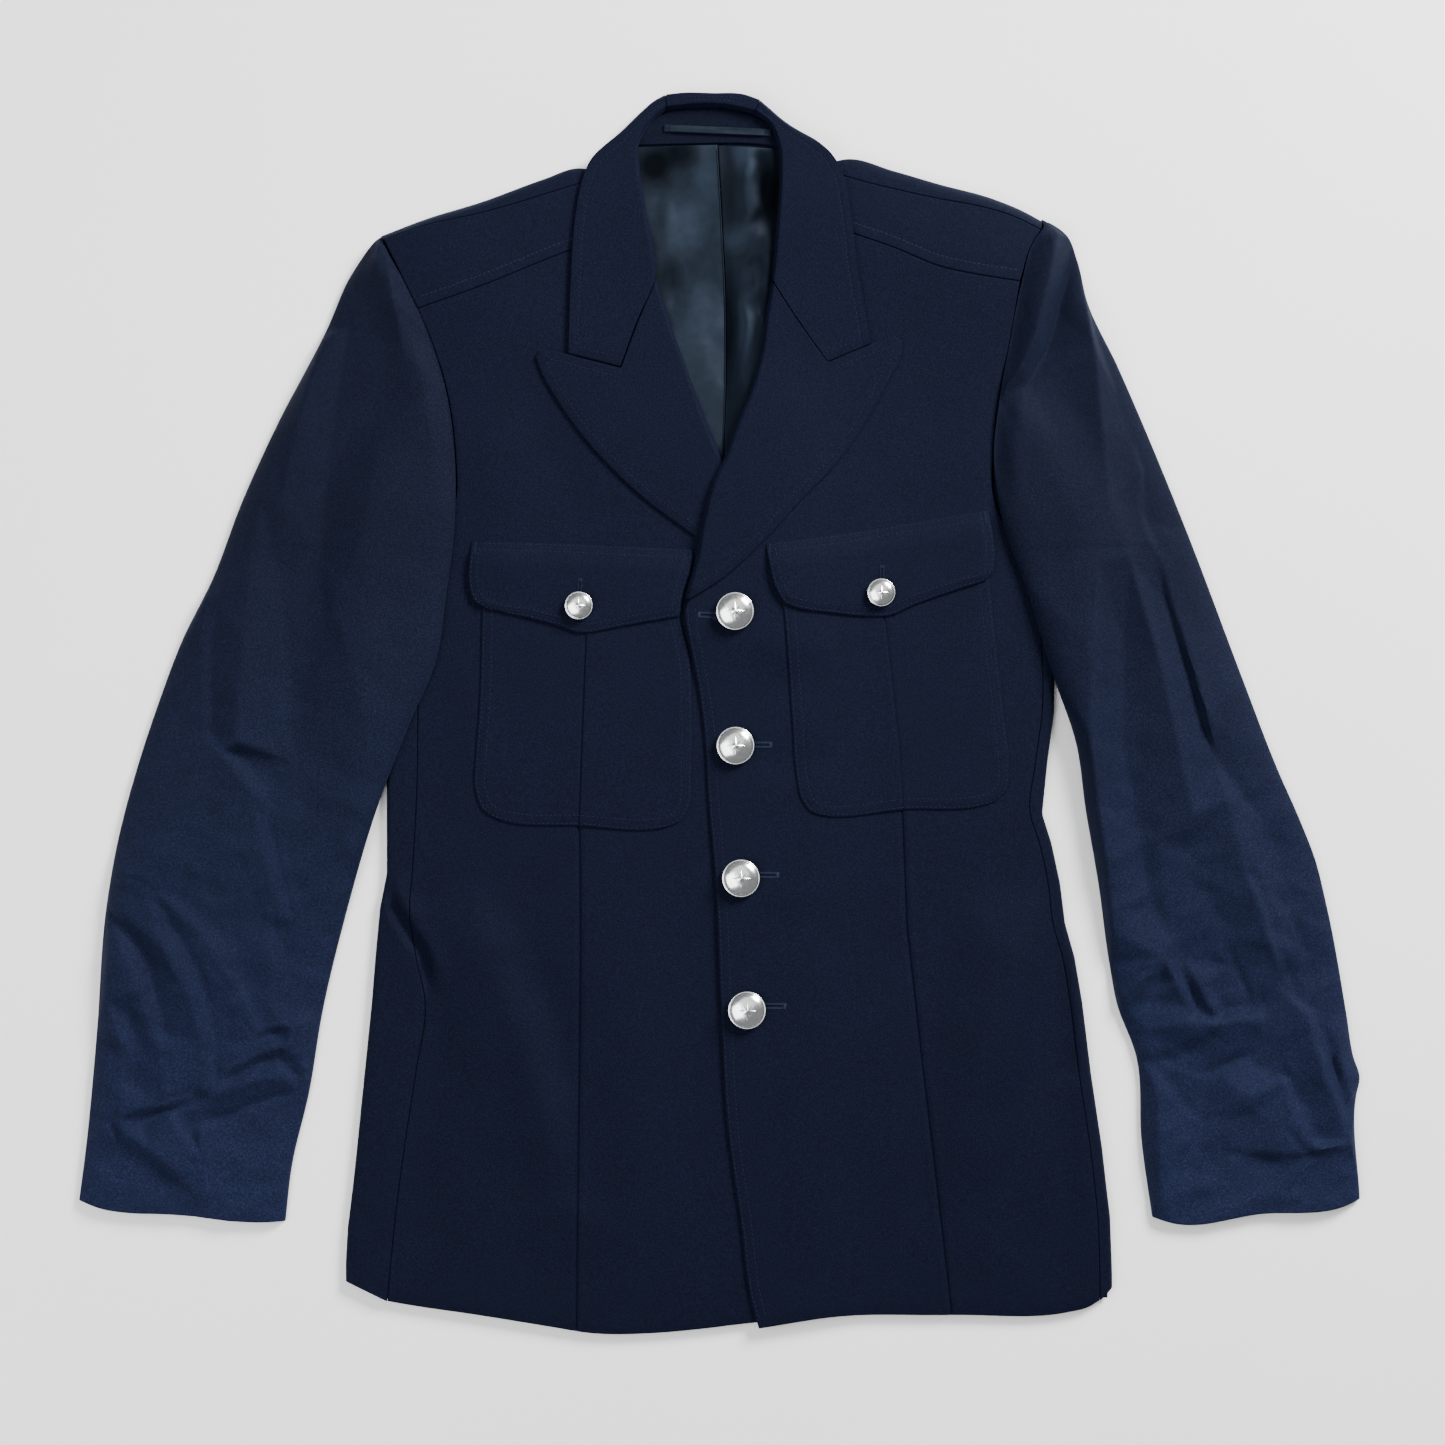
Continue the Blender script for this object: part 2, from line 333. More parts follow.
# Folds: lines of x, y and height, between which the cloth lies in flat facets
SLEEVE_FOLDS_SEEN = {"right": lines_of("""
-284,131.8,1.6 -290.2,94.5,2.4 -293.9,45,3.6 -297,7.8,4 -298.8,-18.3,3.8;
-275.3,94.5,0.8 -267.8,45,0.2 -266.6,7.8,0 -265.4,-30.7,0.4; -313.7,69.8,1.6 -315.6,32.5,1.2 -315,-13.9,1;
-321.2,69.8,2 -319.9,32.5,1.8 -319.3,-13.9,1.6; -309.4,-24.5,3.4 -297.6,-38.8,3.2 -287.7,-50.5,2.8
-286.4,-60.5,2.6 -283.3,-82.2,2.6 -277.1,-107,2.2 -270.3,-125.5,1.2; -297.6,-24.5,0.6 -287.7,-36.9,0.2
-277.8,-50.5,0.2 -269.1,-60.5,0.6; -280.9,-61.7,0.6 -277.1,-82.2,0.4 -270.9,-102.6,0.4 -264.1,-129.9,0.4;
-309.4,-24.5,3.4 -322.4,-30.7,2.8 -331.1,-54.2,3 -339.8,-72.8,3.2 -348.4,-91.5,3.2 -356.5,-107.6,2.8;
-313.7,-48,2.2 -322.4,-72.8,1.8 -333.6,-92.7,1.8 -342.2,-106.3,1.8; -379.4,-98.9,0.8 -372,-107.6,2
-356.5,-107.6,2.8 -353.4,-125.5,3 -344.1,-144.8,3.2 -334.8,-163.4,3.2 -327.4,-178.2,3.2 -320.5,-203.1,2.8
-317.4,-224.1,1.6; -346,-118.7,1.4 -336.7,-137.9,1.2 -326.7,-156.6,1 -317.4,-177,0.8 -312.5,-203.1,0.8
-311.9,-224.1,0.8; -352.2,-110,2 -338.5,-119.3,2.2 -323.6,-135.5,2.6 -308.8,-154.7,2.6 -300.1,-173.3,2.4
-293.9,-190.7,2 -288.9,-206.8,1.2; -337.3,-113.8,1.2 -318.7,-127.4,1.2 -300.1,-148.5,1.2 -292.6,-172.1,0.8
-285.2,-190.7,0.6 -279,-201.8,0.4; -379.4,-117.5,1.2 -369.5,-123.7,2.4 -358.4,-131.1,2.6 -348.4,-146,2.4;
-374.5,-131.1,0.4 -362.1,-143.5,0 -353.4,-157.2,0; -377,-134.8,2 -368.3,-150.3,3 -359.6,-172.1,3.2
-352.2,-196.8,2.4; -353.4,-163.4,0.2 -348.4,-182,0 -344.7,-200.6,0.4; -381.9,-178.2,1.6 -374.5,-196.8,2.4
-368.3,-215.4,1.6; -367,-189.4,0.6 -360.8,-208,0 -365.8,-227.8,0.2; -347.2,-206.8,2 -339.8,-221.7,2.6
-332.3,-231.6,1.8; -381.9,-257.6,1.2 -370.8,-251.4,2.4 -358.4,-245.2,2.6 -343.5,-242.1,2.4
-324.9,-232.2,1.4; -373.2,-261.3,0 -358.4,-252,-0.4 -342.2,-247.7,-0.4 -323.6,-240.2,0; -370.8,-231.6,2
-365.8,-236.5,1.6 -357.1,-235.3,0.6; -323.6,-245.2,1 -312.5,-235.3,2.6 -297.6,-229.1,2.6 -280.2,-226.6,2.2
-269.1,-226.6,1.4; -326.1,-256.4,0 -311.2,-251.4,-0.4 -293.9,-245.8,-0.6 -277.8,-239,-0.4 -262.9,-234.1,0;
-341,-248.9,1.6 -332.3,-263.8,1.8; -337.3,-247.7,0.2 -327.4,-263.8,0; -321.2,-257.6,1.8 -319.9,-277.4,1.8
-318.7,-299.8,1; -316.2,-256.4,0.2 -315.6,-277.4,0 -314.3,-299.8,0.4; -378.2,-255.1,1 -368.3,-260.1,2.4
-353.4,-271.2,2.4 -337.3,-284.9,2.2 -321.2,-301,1; -372,-267.5,0.4 -355.9,-279.9,0.2 -342.2,-292.3,0.2;
-284,-196.8,1.6 -274,-193.1,2.2 -265.4,-195.6,2; -282.7,-203.1,0.2 -272.8,-199.3,0; -307.5,-224.1,1.6
-293.9,-215.4,2.2 -279,-208,2.6 -267.8,-206.8,2.4 -260.4,-214.2,1.6; -300.1,-226.6,0.4 -284,-216.7,0.2
-271.6,-215.4,-0.2 -262.9,-225.4,0; -280.2,-128.7,1.4 -277.8,-153.4,1.6 -279,-178.2,1.2; -274,-134.8,0.2
-271.6,-159.7,0.2; -205.8,283,2.4 -202.1,255.8,2.8 -195.9,224.8,2.2 -188.5,193.8,1; -224.4,279.3,0.8
-230.6,237.2,0.4 -238.1,187.6,0.4; -235.6,274.4,1.6 -246.8,230.9,2.2 -260.4,181.3,2.6 -271.6,131.8,2.2;
-244.3,144.2,0.4 -246.8,94.5,0.4 -244.3,45,0.8; -210.8,168.9,1.4 -215.8,131.8,2 -224.4,94.5,1.6;
-239.3,69.8,1.4 -228.2,32.5,2 -219.5,-4.7,1.2
"""), "left": lines_of("""
208.3,296.7,2.6 205.2,279.3,3.2 200.9,255.8,3 194.7,230.9,2.8 186,213.6,2
176.1,198.7,1; 218.9,292.9,0.4 215.8,271.2,-1.2 209.6,248.3,-1.8 202.1,223.5,-1.8 191,203.7,-1.2
178.6,191.3,-0.2; 222,286.8,0.4 226.9,255.8,2.4 231.9,224.8,3.4 236.2,175.2,3.8 240.6,131.8,3.4 253,94.5,3.6
270.3,37.5,4 282.7,-17.1,3.8 292.6,-63.5,3.4; 230.6,243.3,0.6 246.8,196.2,0.2 255.4,168.9,0.2
262.9,147.9,0.2 264.1,119.3,0.2 276.5,69.8,0 296.4,7.8,0 307.5,-29.4,0.2; 261.6,150.3,1.6 259.8,127.4,1.8
266.6,107,2.2 272.8,94.5,1.6; 279,69.8,1.6 301.3,-4.7,3 313.7,-54.2,3.2 324.3,-98.9,3.2 334.8,-125.5,3.4
344.1,-153.4,3.2; 313.7,-9.6,0.8 336,-66.7,0.4 354.6,-116.2,0.2 362.1,-147.2,0 365.8,-184.4,0.2;
344.1,-153.4,3.2 336.7,-165.8,2.2 331.7,-180.7,0.8; 344.7,-168.9,0.6 338.5,-180.7,0 338.5,-200.6,-0.2
344.7,-225.4,0.2; 179.8,162.8,0.6 192.2,119.3,1.2 205.8,94.5,1; 210.8,168.9,1.6 223.2,119.3,2.2
233.1,93.3,3.2 229.4,38.8,3.4 228.2,-15.2,3.4 238.1,-86.5,3 243,-134.8,2.4; 249.2,45,0.4 249.2,-17.1,0
260.4,-79,-0.2 266.6,-116.2,0; 271.6,-79,1.2 276.5,-116.2,1.4 280.2,-141.1,1.2; 291.4,-85.2,1.2
301.3,-107,0.9 311.2,-133.6,0.6 319.9,-157.2,0.2 328,-180.1,0.2; 248,-180.1,1.4 261.6,-165.8,2.6
275.3,-152.2,2.4 282.7,-168.3,2.4 291.4,-183.2,1.6; 254.2,-185.7,0.2 266.6,-178.2,-0.4 274,-164.6,-0.2;
284,-152.2,0.2 291.4,-168.3,-0.6 296.4,-182,-0.4; 297,-168.9,1.8 303.8,-182,2.4 307.5,-190.7,1.4;
306.3,-172.1,0.4 312.5,-185.7,-0.2; 265.4,-196.8,1.2 290.2,-191.9,2.4 313.7,-191.9,2.6 334.8,-190.7,1.6;
266.6,-216.7,0.2 292.6,-213,-0.4 305,-221.7,-0.6 324.9,-214.2,-0.6 339.8,-208,-0.2; 363.3,-185.7,2.2
368.3,-203.1,3 373.9,-225.4,3 383.2,-247.7,1.8; 370.8,-186.9,0.4 380.1,-214.2,0 388.1,-245.2,0.4;
347.2,-227.8,2.4 353.4,-244,2.4 363.3,-265.1,2 368.3,-272.5,1.2; 354.6,-227.8,0.6 360.8,-244,0
370.8,-263.8,0.2; 381.9,-203.1,1.2 385.6,-222.9,1.6 390.6,-237.8,1.2; 270.9,-231.6,2.2 271.6,-258.9,2.6
272.8,-291.1,1.8; 274,-224.1,0.6 286.4,-239,-0.4 299.5,-252.7,-0.8 295.1,-268.8,-0.6 287.7,-289.9,0;
317.4,-230.3,1.8 326.1,-237.8,2.4 336,-248.9,1.8; 350.9,-273.7,2 370.8,-270.6,2.4 390.6,-266.3,1.8;
350.9,-279.3,0.4 372,-277.4,0 390.6,-272.5,0.2
""")}

BODY_FOLDS = {"right": lines_of("""
-155,-103.8,0 -141.4,-147.2,3.36 -124,-196.8,4 -109.1,-246.4,3.68
-101.7,-302.2,1.92 -99.2,-345.6,0.48; -124,-134.8,0.48 -106.6,-184.4,-0.24 -93,-234.1,-0.3 -86.8,-289.9,0;
-179.8,-165.8,0.32 -166.2,-215.4,-0.12 -155,-271.2,-0.12 -145.1,-327.1,0.16; -49.6,-103.8,0.48
-54.6,-178.2,0.96 -55.8,-252.7,1.12 -58.3,-327.1,0.64; -18.6,-116.2,0 -18.6,-203.1,-0.12 -17.4,-302.2,0
"""), "left": lines_of("""
199.6,-103.8,0 181,-153.4,3.2 163.7,-209.2,4 150,-258.9,3.2 143.8,-314.6,1.12;
217,-116.2,0.16 208.3,-165.8,-0.3 194.7,-227.8,-0.24 179.8,-289.9,0; 229.4,-165.8,0.64 226.9,-227.8,1.28
230.6,-289.9,1.12 234.4,-339.4,0.48; 148.8,-116.2,0.16 136.4,-178.2,-0.18 127.7,-240.2,-0.12 124,-302.2,0;
86.8,-116.2,0.32 88,-190.7,0.8 94.2,-265.1,0.96 99.2,-339.4,0.32; 43.4,-128.7,0 47.1,-215.4,-0.12
52.1,-302.2,0
""")}

SATIN_LINES = lines_of("""-11.2,351.2,1.6 -17.4,323.9,2.6 -22.3,297.9,3.4 -18.6,255.8,2.4 -9.9,218.6,2.2
-2.5,184.4,1.2; -43.4,351.2,-0.6 -37.2,335.1,-2.4 -42.2,314,-1.6; -26,351.2,-1 -23.6,337.6,-1.6
-29.8,320.2,-0.6; -44.6,301.6,1 -34.7,306.6,2.4 -22.3,297.9,3.4; -38.4,279.3,-0.4 -31,271.9,-2
-27.3,259.5,-1.6; -23.6,261.9,-1.4 -14.9,270.6,-1 -5,279.3,0; -18.6,244.6,2.6 -12.4,237.2,2.4 -2.5,242.1,1;
-16.1,206.2,2.2 -9.9,203.7,2.2 -1.9,208.6,1.2; 4.3,350,-0.8 8.7,332.6,-1.6 7.4,311.6,-0.8; 17.4,350,1.6
19.8,332.6,2.4 22.3,314,1.6; 24.8,342.6,-0.8 22.9,326.4,-2 28.5,309.1,-2.4 34.7,301.6,-1; 32.2,348.8,1.4
35.3,332.6,1.4 36,317.8,0.4; 2.5,294.2,0.8 13.6,297.9,2.2 27.3,295.4,2.2 33.5,289.2,1.4; 3.7,284.3,-0.4
14.9,286.8,-0.8 19.8,279.3,-0.8; 14.9,289.2,2.4 17.4,281.8,2.6 27.3,279.3,2.4 32.2,283,1; 19.8,268.1,0.4
22.9,273.1,1.8 21.1,260.7,2; 3.7,261.9,-1.4 6.8,245.8,-2.2 5.6,224.8,-1.6 2.5,204.9,-1; 12.4,255.8,1.6
16.1,240.9,2.6 13.6,223.5,2.2 8.7,203.7,1.6; 22.3,249.6,-0.6 21.1,233.4,-0.8 14.9,213.6,-0.4; 5,193.8,1.2
6.8,182.6,1.2""")

# Slit of each front buttonhole, from its eye to its far end, and the size of the eye
BUTTONHOLES = (
    ((-2.5, 60.1), (-12.4, 60.5), 2.2),
    ((21.1, -20.1), (31.0, -20.1), 0),
    ((24.2, -100.8), (35.3, -100.8), 0),
    ((27.9, -182.0), (39.7, -182.0), 0),
)


def smooth(value):
    """0 below 0, 1 above 1 and an S curve between them."""
    value = np.clip(value, 0.0, 1.0)
    return value * value * (3.0 - 2.0 * value)


def along(points, shares):
    """Points at these shares of the length of a curve, which is smooth but at its sharp corners."""
    points = np.array(points, float)
    runs = np.diff(points, axis=0)
    steps = np.linalg.norm(runs, axis=1)
    length = np.concatenate([[0.0], np.cumsum(steps)])
    straight = runs / steps[:, None]
    smooth_slopes = np.gradient(points, length, axis=0)
    turn = np.concatenate([[1.0], (straight[:-1] * straight[1:]).sum(axis=1), [1.0]])
    corner = (turn < CORNER_COSINE)[:, None]
    leaving = np.where(corner[:-1], straight, smooth_slopes[:-1])
    arriving = np.where(corner[1:], straight, smooth_slopes[1:])
    wanted = np.clip(shares, 0.0, 1.0) * length[-1]
    index = np.clip(np.searchsorted(length, wanted, side="right") - 1, 0, len(steps) - 1)
    span = steps[index][:, None]
    u = (wanted - length[index])[:, None] / span
    return ((2 * u**3 - 3 * u**2 + 1) * points[index] + (u**3 - 2 * u**2 + u) * span * leaving[index]
            + (3 * u**2 - 2 * u**3) * points[index + 1] + (u**3 - u**2) * span * arriving[index])


def share_at(points, corner):
    """The share of a curve's length at which it reaches the point with this number."""
    return run_length(points[:corner + 1]) / run_length(points)


def even(count):
    """Evenly spaced shares from 0 to 1."""
    return np.linspace(0.0, 1.0, count)


def back_base(x, y):
    """The underside of the back panels, which the collar's fall lifts under the neck."""
    sideways = smooth((NECK_LIFT_REACH - abs(x + 4)) / NECK_LIFT_FADE)
    return FALL_LIFT * smooth((y - NECK_LIFT_Y) / NECK_LIFT_RUN) * sideways


def lining_base(x, y):
    return back_base(x, y) + BACK_WALL + LAYER


def front_base(x, y):
    return back_base(x, y) + BACK_WALL + INNER_SPACE


def padding(x, y):
    across, upward = (abs(x) - PAD_X) / PAD_SPREAD_X, (y - PAD_Y) / PAD_SPREAD_Y
    return SHOULDER_PAD * np.exp(-across**2 - upward**2)


def front_wall(x, y):
    return FRONT_WALL + padding(x, y)


def overlap_lift(x, y):
    """How far the wearer's left front is raised by the right front and its lapel under it."""
    front = (FRONT_WALL + LAYER) * smooth((FRONT_EDGE_LAP + 54 - x) / 50) * smooth((230 - y) / 90)
    across, upward = smooth((78 - abs(x)) / 46), smooth((y - 12) / 46) * smooth((240 - y) / 62)
    lapel = (LAPEL_WALL + LAYER) * across * upward
    return front + lapel


def left_front_base(x, y):
    return front_base(x, y) + overlap_lift(x, y)


def panel_base(side):
    return front_base if side == "right" else left_front_base


def panel_top(side, x, y):
    return panel_base(side)(x, y) + front_wall(x, y)


def side_fold_x(side, y):
    rows = SIDE[side][::-1]
    return np.interp(y, [row[0] for row in rows], [row[1] for row in rows])


def sleeve_base(side):
    """The sleeve lies on the surface, and on the body's side where it crosses it."""

    def base(x, y):
        edge = abs(side_fold_x(side, y)) - ARMHOLE_SET_IN * smooth((y - ARMHOLE_Y) / ARMHOLE_RUN)
        beyond = SIGN[side] * x - edge
        lift = front_base(x, y) + FRONT_WALL + LAYER + SEAM
        drop = smooth((SLEEVE_DROP_REACH - beyond) / SLEEVE_DROP_RUN)
        return lift * drop * smooth((y - SLEEVE_LOW_Y) / SLEEVE_LOW_RUN)

    return base


def quarter(distance, radius):
    """Share of its full height that a rounded fold has at this distance from its edge."""
    share = np.clip(distance / radius, 0.0, 1.0)
    return np.sqrt(np.clip(1.0 - (1.0 - share) ** 2, 0.0, 1.0))


def whole(rows):
    return np.ones_like(rows)


def inset_curve(points, amount):
    """The curve moved along x by the amount, to leave a seam beside it."""
    return tuple((x + amount, y) for x, y in points)


def front_outer(side):
    """The outer edge of a front: beside the sleeve, under the arm and down the side body's seam."""
    armhole = [point for point in ARMHOLE[side] if point[1] < YOKE_SEAM[side][-1][1] - 6]
    side_seam = tuple((row[2], row[0]) for row in SIDE[side][1:-1])
    beside_sleeve = inset_curve(armhole, -SIGN[side] * SEAM)
    return YOKE_SEAM[side][-1:] + beside_sleeve + UNDERARM[side] + side_seam + HEM[side][-1:]


def fall_rim(x, y):
    return FALL_WALL + SEAM + 0 * x


def stations(length, count, near):
    """Shares along each of the lengths: close together beside both ends and even between them."""
    length = np.asarray(length, float)[:, None]
    near = np.asarray(near, float)[None] * np.minimum(1.0, 0.4 * length / near[-1])
    inner = even(count)[None, 1:-1]
    middle = near[:, -1:] + inner * (length - 2 * near[:, -1:])
    return np.concatenate([near, middle, length - near[:, ::-1]], axis=1) / length


def sewn_stations(share, length, count, near):
    """Stations that also crowd on both sides of a line sewn down the panel at this share of each row."""
    share, length = np.asarray(share, float)[:, None], np.asarray(length, float)
    first = stations(length * share[:, 0], count[0], near) * share
    second = share + stations(length * (1 - share[:, 0]), count[1], near) * (1 - share)
    return np.concatenate([first, second[:, 1:]], axis=1)


def patch(curves, t, s):
    """Points of the panel between four curves, at the shares t along its rows and s along its columns."""
    parts = [along(curve, share.ravel()).reshape(*t.shape, 2) for curve, share in zip(curves, (t, t, s, s))]
    (a0, a1), (b0, b1) = (along(curve, even(2)) for curve in curves[2:])
    t, s = t[..., None], s[..., None]
    corners = (1 - t) * ((1 - s) * a0 + s * a1) + t * ((1 - s) * b0 + s * b1)
    return (1 - s) * parts[0] + s * parts[1] + (1 - t) * parts[2] + t * parts[3] - corners


def fine_net(curves, step, near_rows, near_columns, line=None):
    """A fine net over a panel. line gives the x of a seam down the panel from y, where it has one."""
    first, last, start, end = curves
    tall = max(run_length(first), run_length(last))
    rows = max(3, int(tall / step))
    columns = max(3, int(gaps(first, last, even(9)).max() / step))
    t_row = stations([tall], rows, near_rows)[0]
    width = gaps(first, last, t_row)
    if line is None:
        s = stations(width, columns, near_columns)
    else:
        tt, ss = np.meshgrid(t_row, even(160), indexing="ij")
        rough = patch(curves, tt, ss)
        rising = np.sign(rough[0, -1, 0] - rough[0, 0, 0])
        beyond = (rough[..., 0] - line(rough[..., 1])) * rising
        share = np.clip([np.interp(0.0, row, ss[0]) for row in beyond], 0.06, 0.94)
        middle = max(3, int(columns * share.mean()))
        s = sewn_stations(share, width, (middle, max(3, columns - middle)), near_columns)
    length = np.maximum(gaps(start, end, s.mean(axis=0)), 0.6 * tall)
    return patch(curves, stations(length, rows, near_rows).T, s)


def run_length(points):
    return np.linalg.norm(np.diff(np.array(points, float), axis=0), axis=1).sum()


def gaps(first, last, shares):
    """The distance between two curves at each of these shares."""
    return np.linalg.norm(along(first, shares) - along(last, shares), axis=1)


def distance_to(points, x, y):
    """Distance and signed distance of every x, y from a line through the points, and the share along it."""
    best = np.full(np.shape(x), 1e9)
    signed, where = np.zeros_like(best), np.zeros_like(best)
    total, passed = run_length(points), 0.0
    for (x0, y0), (x1, y1) in zip(points[:-1], points[1:]):
        run = np.hypot(x1 - x0, y1 - y0)
        u = np.clip(((x - x0) * (x1 - x0) + (y - y0) * (y1 - y0)) / run**2, 0.0, 1.0)
        away = np.hypot(x - x0 - u * (x1 - x0), y - y0 - u * (y1 - y0))
        side = (x - x0) * (y1 - y0) - (y - y0) * (x1 - x0)
        closer = away < best
        best = np.where(closer, away, best)
        signed = np.where(closer, np.sign(side) * away, signed)
        where = np.where(closer, (passed + u * run) / total, where)
        passed += run
    return best, signed, where


def facets(rows, rim, rise, passes):
    """A height over x, y made of flat facets that meet along these lines and reach 0 at the rim.

    rise multiplies the heights, and each pass softens the lines where facets meet a little more.
    """
    points, edges = [], []
    for row in rows:
        edges += [(len(points) + k, len(points) + k + 1) for k in range(len(row) - 1)]
        points += [(x, y, rise * z) for x, y, z in row]
    points += [(x, y, 0.0) for x, y in rim]
    made = delaunay_2d_cdt([Vector(point[:2]) for point in points], edges, [], 0, 0.01)
    places = np.array([place[:] for place in made[0]])
    given = np.array(points)
    heights = [given[origin[0], 2] if origin else given[np.hypot(*(given[:, :2] - place).T).argmin(), 2]
               for place, origin in zip(places, made[3])]
    low, high = places.min(axis=0) - 2, places.max(axis=0) + 2
    gx, gy = np.arange(low[0], high[0]), np.arange(low[1], high[1])
    field = np.zeros((len(gy), len(gx)))
    for corners in made[2]:
        (ax, ay), (bx, by), (cx, cy) = (places[corner] for corner in corners)
        area = (bx - ax) * (cy - ay) - (cx - ax) * (by - ay)
        left, right = np.searchsorted(gx, (min(ax, bx, cx), max(ax, bx, cx)))
        foot, top = np.searchsorted(gy, (min(ay, by, cy), max(ay, by, cy)))
        px, py = gx[None, left:right], gy[foot:top, None]
        v = ((px - ax) * (cy - ay) - (cx - ax) * (py - ay)) / area
        w = ((bx - ax) * (py - ay) - (px - ax) * (by - ay)) / area
        inside = (v >= -1e-6) & (w >= -1e-6) & (v + w <= 1 + 1e-6)
        value = heights[corners[0]] * (1 - v - w) + heights[corners[1]] * v + heights[corners[2]] * w
        field[foot:top, left:right] = np.where(inside, value, field[foot:top, left:right])
    for _ in range(passes):
        field[1:-1] = (field[:-2] + 2 * field[1:-1] + field[2:]) / 4
        field[:, 1:-1] = (field[:, :-2] + 2 * field[:, 1:-1] + field[:, 2:]) / 4

    def height(x, y):
        u, v = np.clip(x - low[0], 0, len(gx) - 1.01), np.clip(y - low[1], 0, len(gy) - 1.01)
        i, j = u.astype(int), v.astype(int)
        u, v = u - i, v - j
        lower = field[j, i] * (1 - u) + field[j, i + 1] * u
        return lower * (1 - v) + (field[j + 1, i] * (1 - u) + field[j + 1, i + 1] * u) * v

    return height


def creases(rows, x, y):
    """Soft troughs and ridges: each row is a height, a width to either side of its line, and the line."""
    height = np.zeros(np.shape(x))
    for (rise, right, left), *line in rows:
        curve = [tuple(point) for point in along(line, even(3 * len(line)))] if len(line) > 2 else line
        away, signed, where = distance_to(curve, x, y)
        width = np.where(signed > 0, right, left)
        fade = np.clip(np.minimum(where, 1.0 - where) / 0.22, 0.0, 1.0)
        shape = np.exp(-((away / width) ** 2))
        if rise < 0:
            shape = shape - 0.4 * np.exp(-(((away - 1.9 * width) / (1.2 * width)) ** 2))
        height += rise * shape * (0.15 + 0.85 * smooth(fade))
    return height


def waves(x, y, size, seed):
    """A slow unevenness between about -1 and 1 made of a few crossing swells."""
    total = np.zeros(np.shape(x))
    for k in range(5):
        turn, shift = seed * 1.7 + k * 1.13, seed * 2.3 + k * 4.1
        reach = size * (0.7 + 0.25 * k)
        bend = 0.6 * np.sin((x * math.sin(turn) - y * math.cos(turn)) / (reach * 1.7) + shift)
        total += np.sin((x * math.cos(turn) + y * math.sin(turn)) / reach + shift + bend)
    return total / 3.0


def edge_distances(flat):
    """Distances of each point of a net from its first and last column and its first and last row."""
    borders = flat[:, :1], flat[:, -1:], flat[:1], flat[-1:]
    return [np.linalg.norm(flat - border, axis=2) for border in borders]


def shell_mesh(name, outer, inner, material):
    """A closed wall between two nets of the same size, in millimetres."""
    rows, columns = outer.shape[:2]
    points = np.concatenate([outer.reshape(-1, 3), inner.reshape(-1, 3)])
    below = rows * columns
    index = np.arange(below).reshape(rows, columns)
    quads = np.stack([index[:-1, :-1], index[:-1, 1:], index[1:, 1:], index[1:, :-1]], axis=-1).reshape(-1, 4)
    rim = np.concatenate([index[0], index[1:, -1], index[-1, -2::-1], index[-2:0:-1, 0]])
    after = np.roll(rim, -1)
    wall = np.stack([after, rim, below + rim, below + after], axis=-1)
    faces = np.concatenate([quads, below + quads[:, ::-1], wall])
    a, b, c, d = (points[faces[:, k]] for k in range(4))
    if np.einsum("ij,ij->i", a, np.cross(b, c) + np.cross(c, d)).sum() < 0:
        faces = faces[:, ::-1]
    return mesh_piece(name, points, faces.tolist(), material)


def link(name, data):
    """A new object for this mesh, light or camera."""
    obj = bpy.data.objects.new(name, data)
    bpy.context.scene.collection.objects.link(obj)
    return obj


def shown(obj, node=None):
    """Declares a piece, and the CAD node that it replaces where it has one."""
    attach(obj, "root")
    if node:
        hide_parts(node)
    return obj


def mesh_piece(name, points, faces, material, smooth_angle=50):
    mesh = bpy.data.meshes.new(name)
    mesh.from_pydata((np.array(points) * MM).tolist(), [], faces)
    mesh.materials.append(material)
    mesh.shade_smooth()
    mesh.set_sharp_from_angle(angle=math.radians(smooth_angle))
    return link(name, mesh)


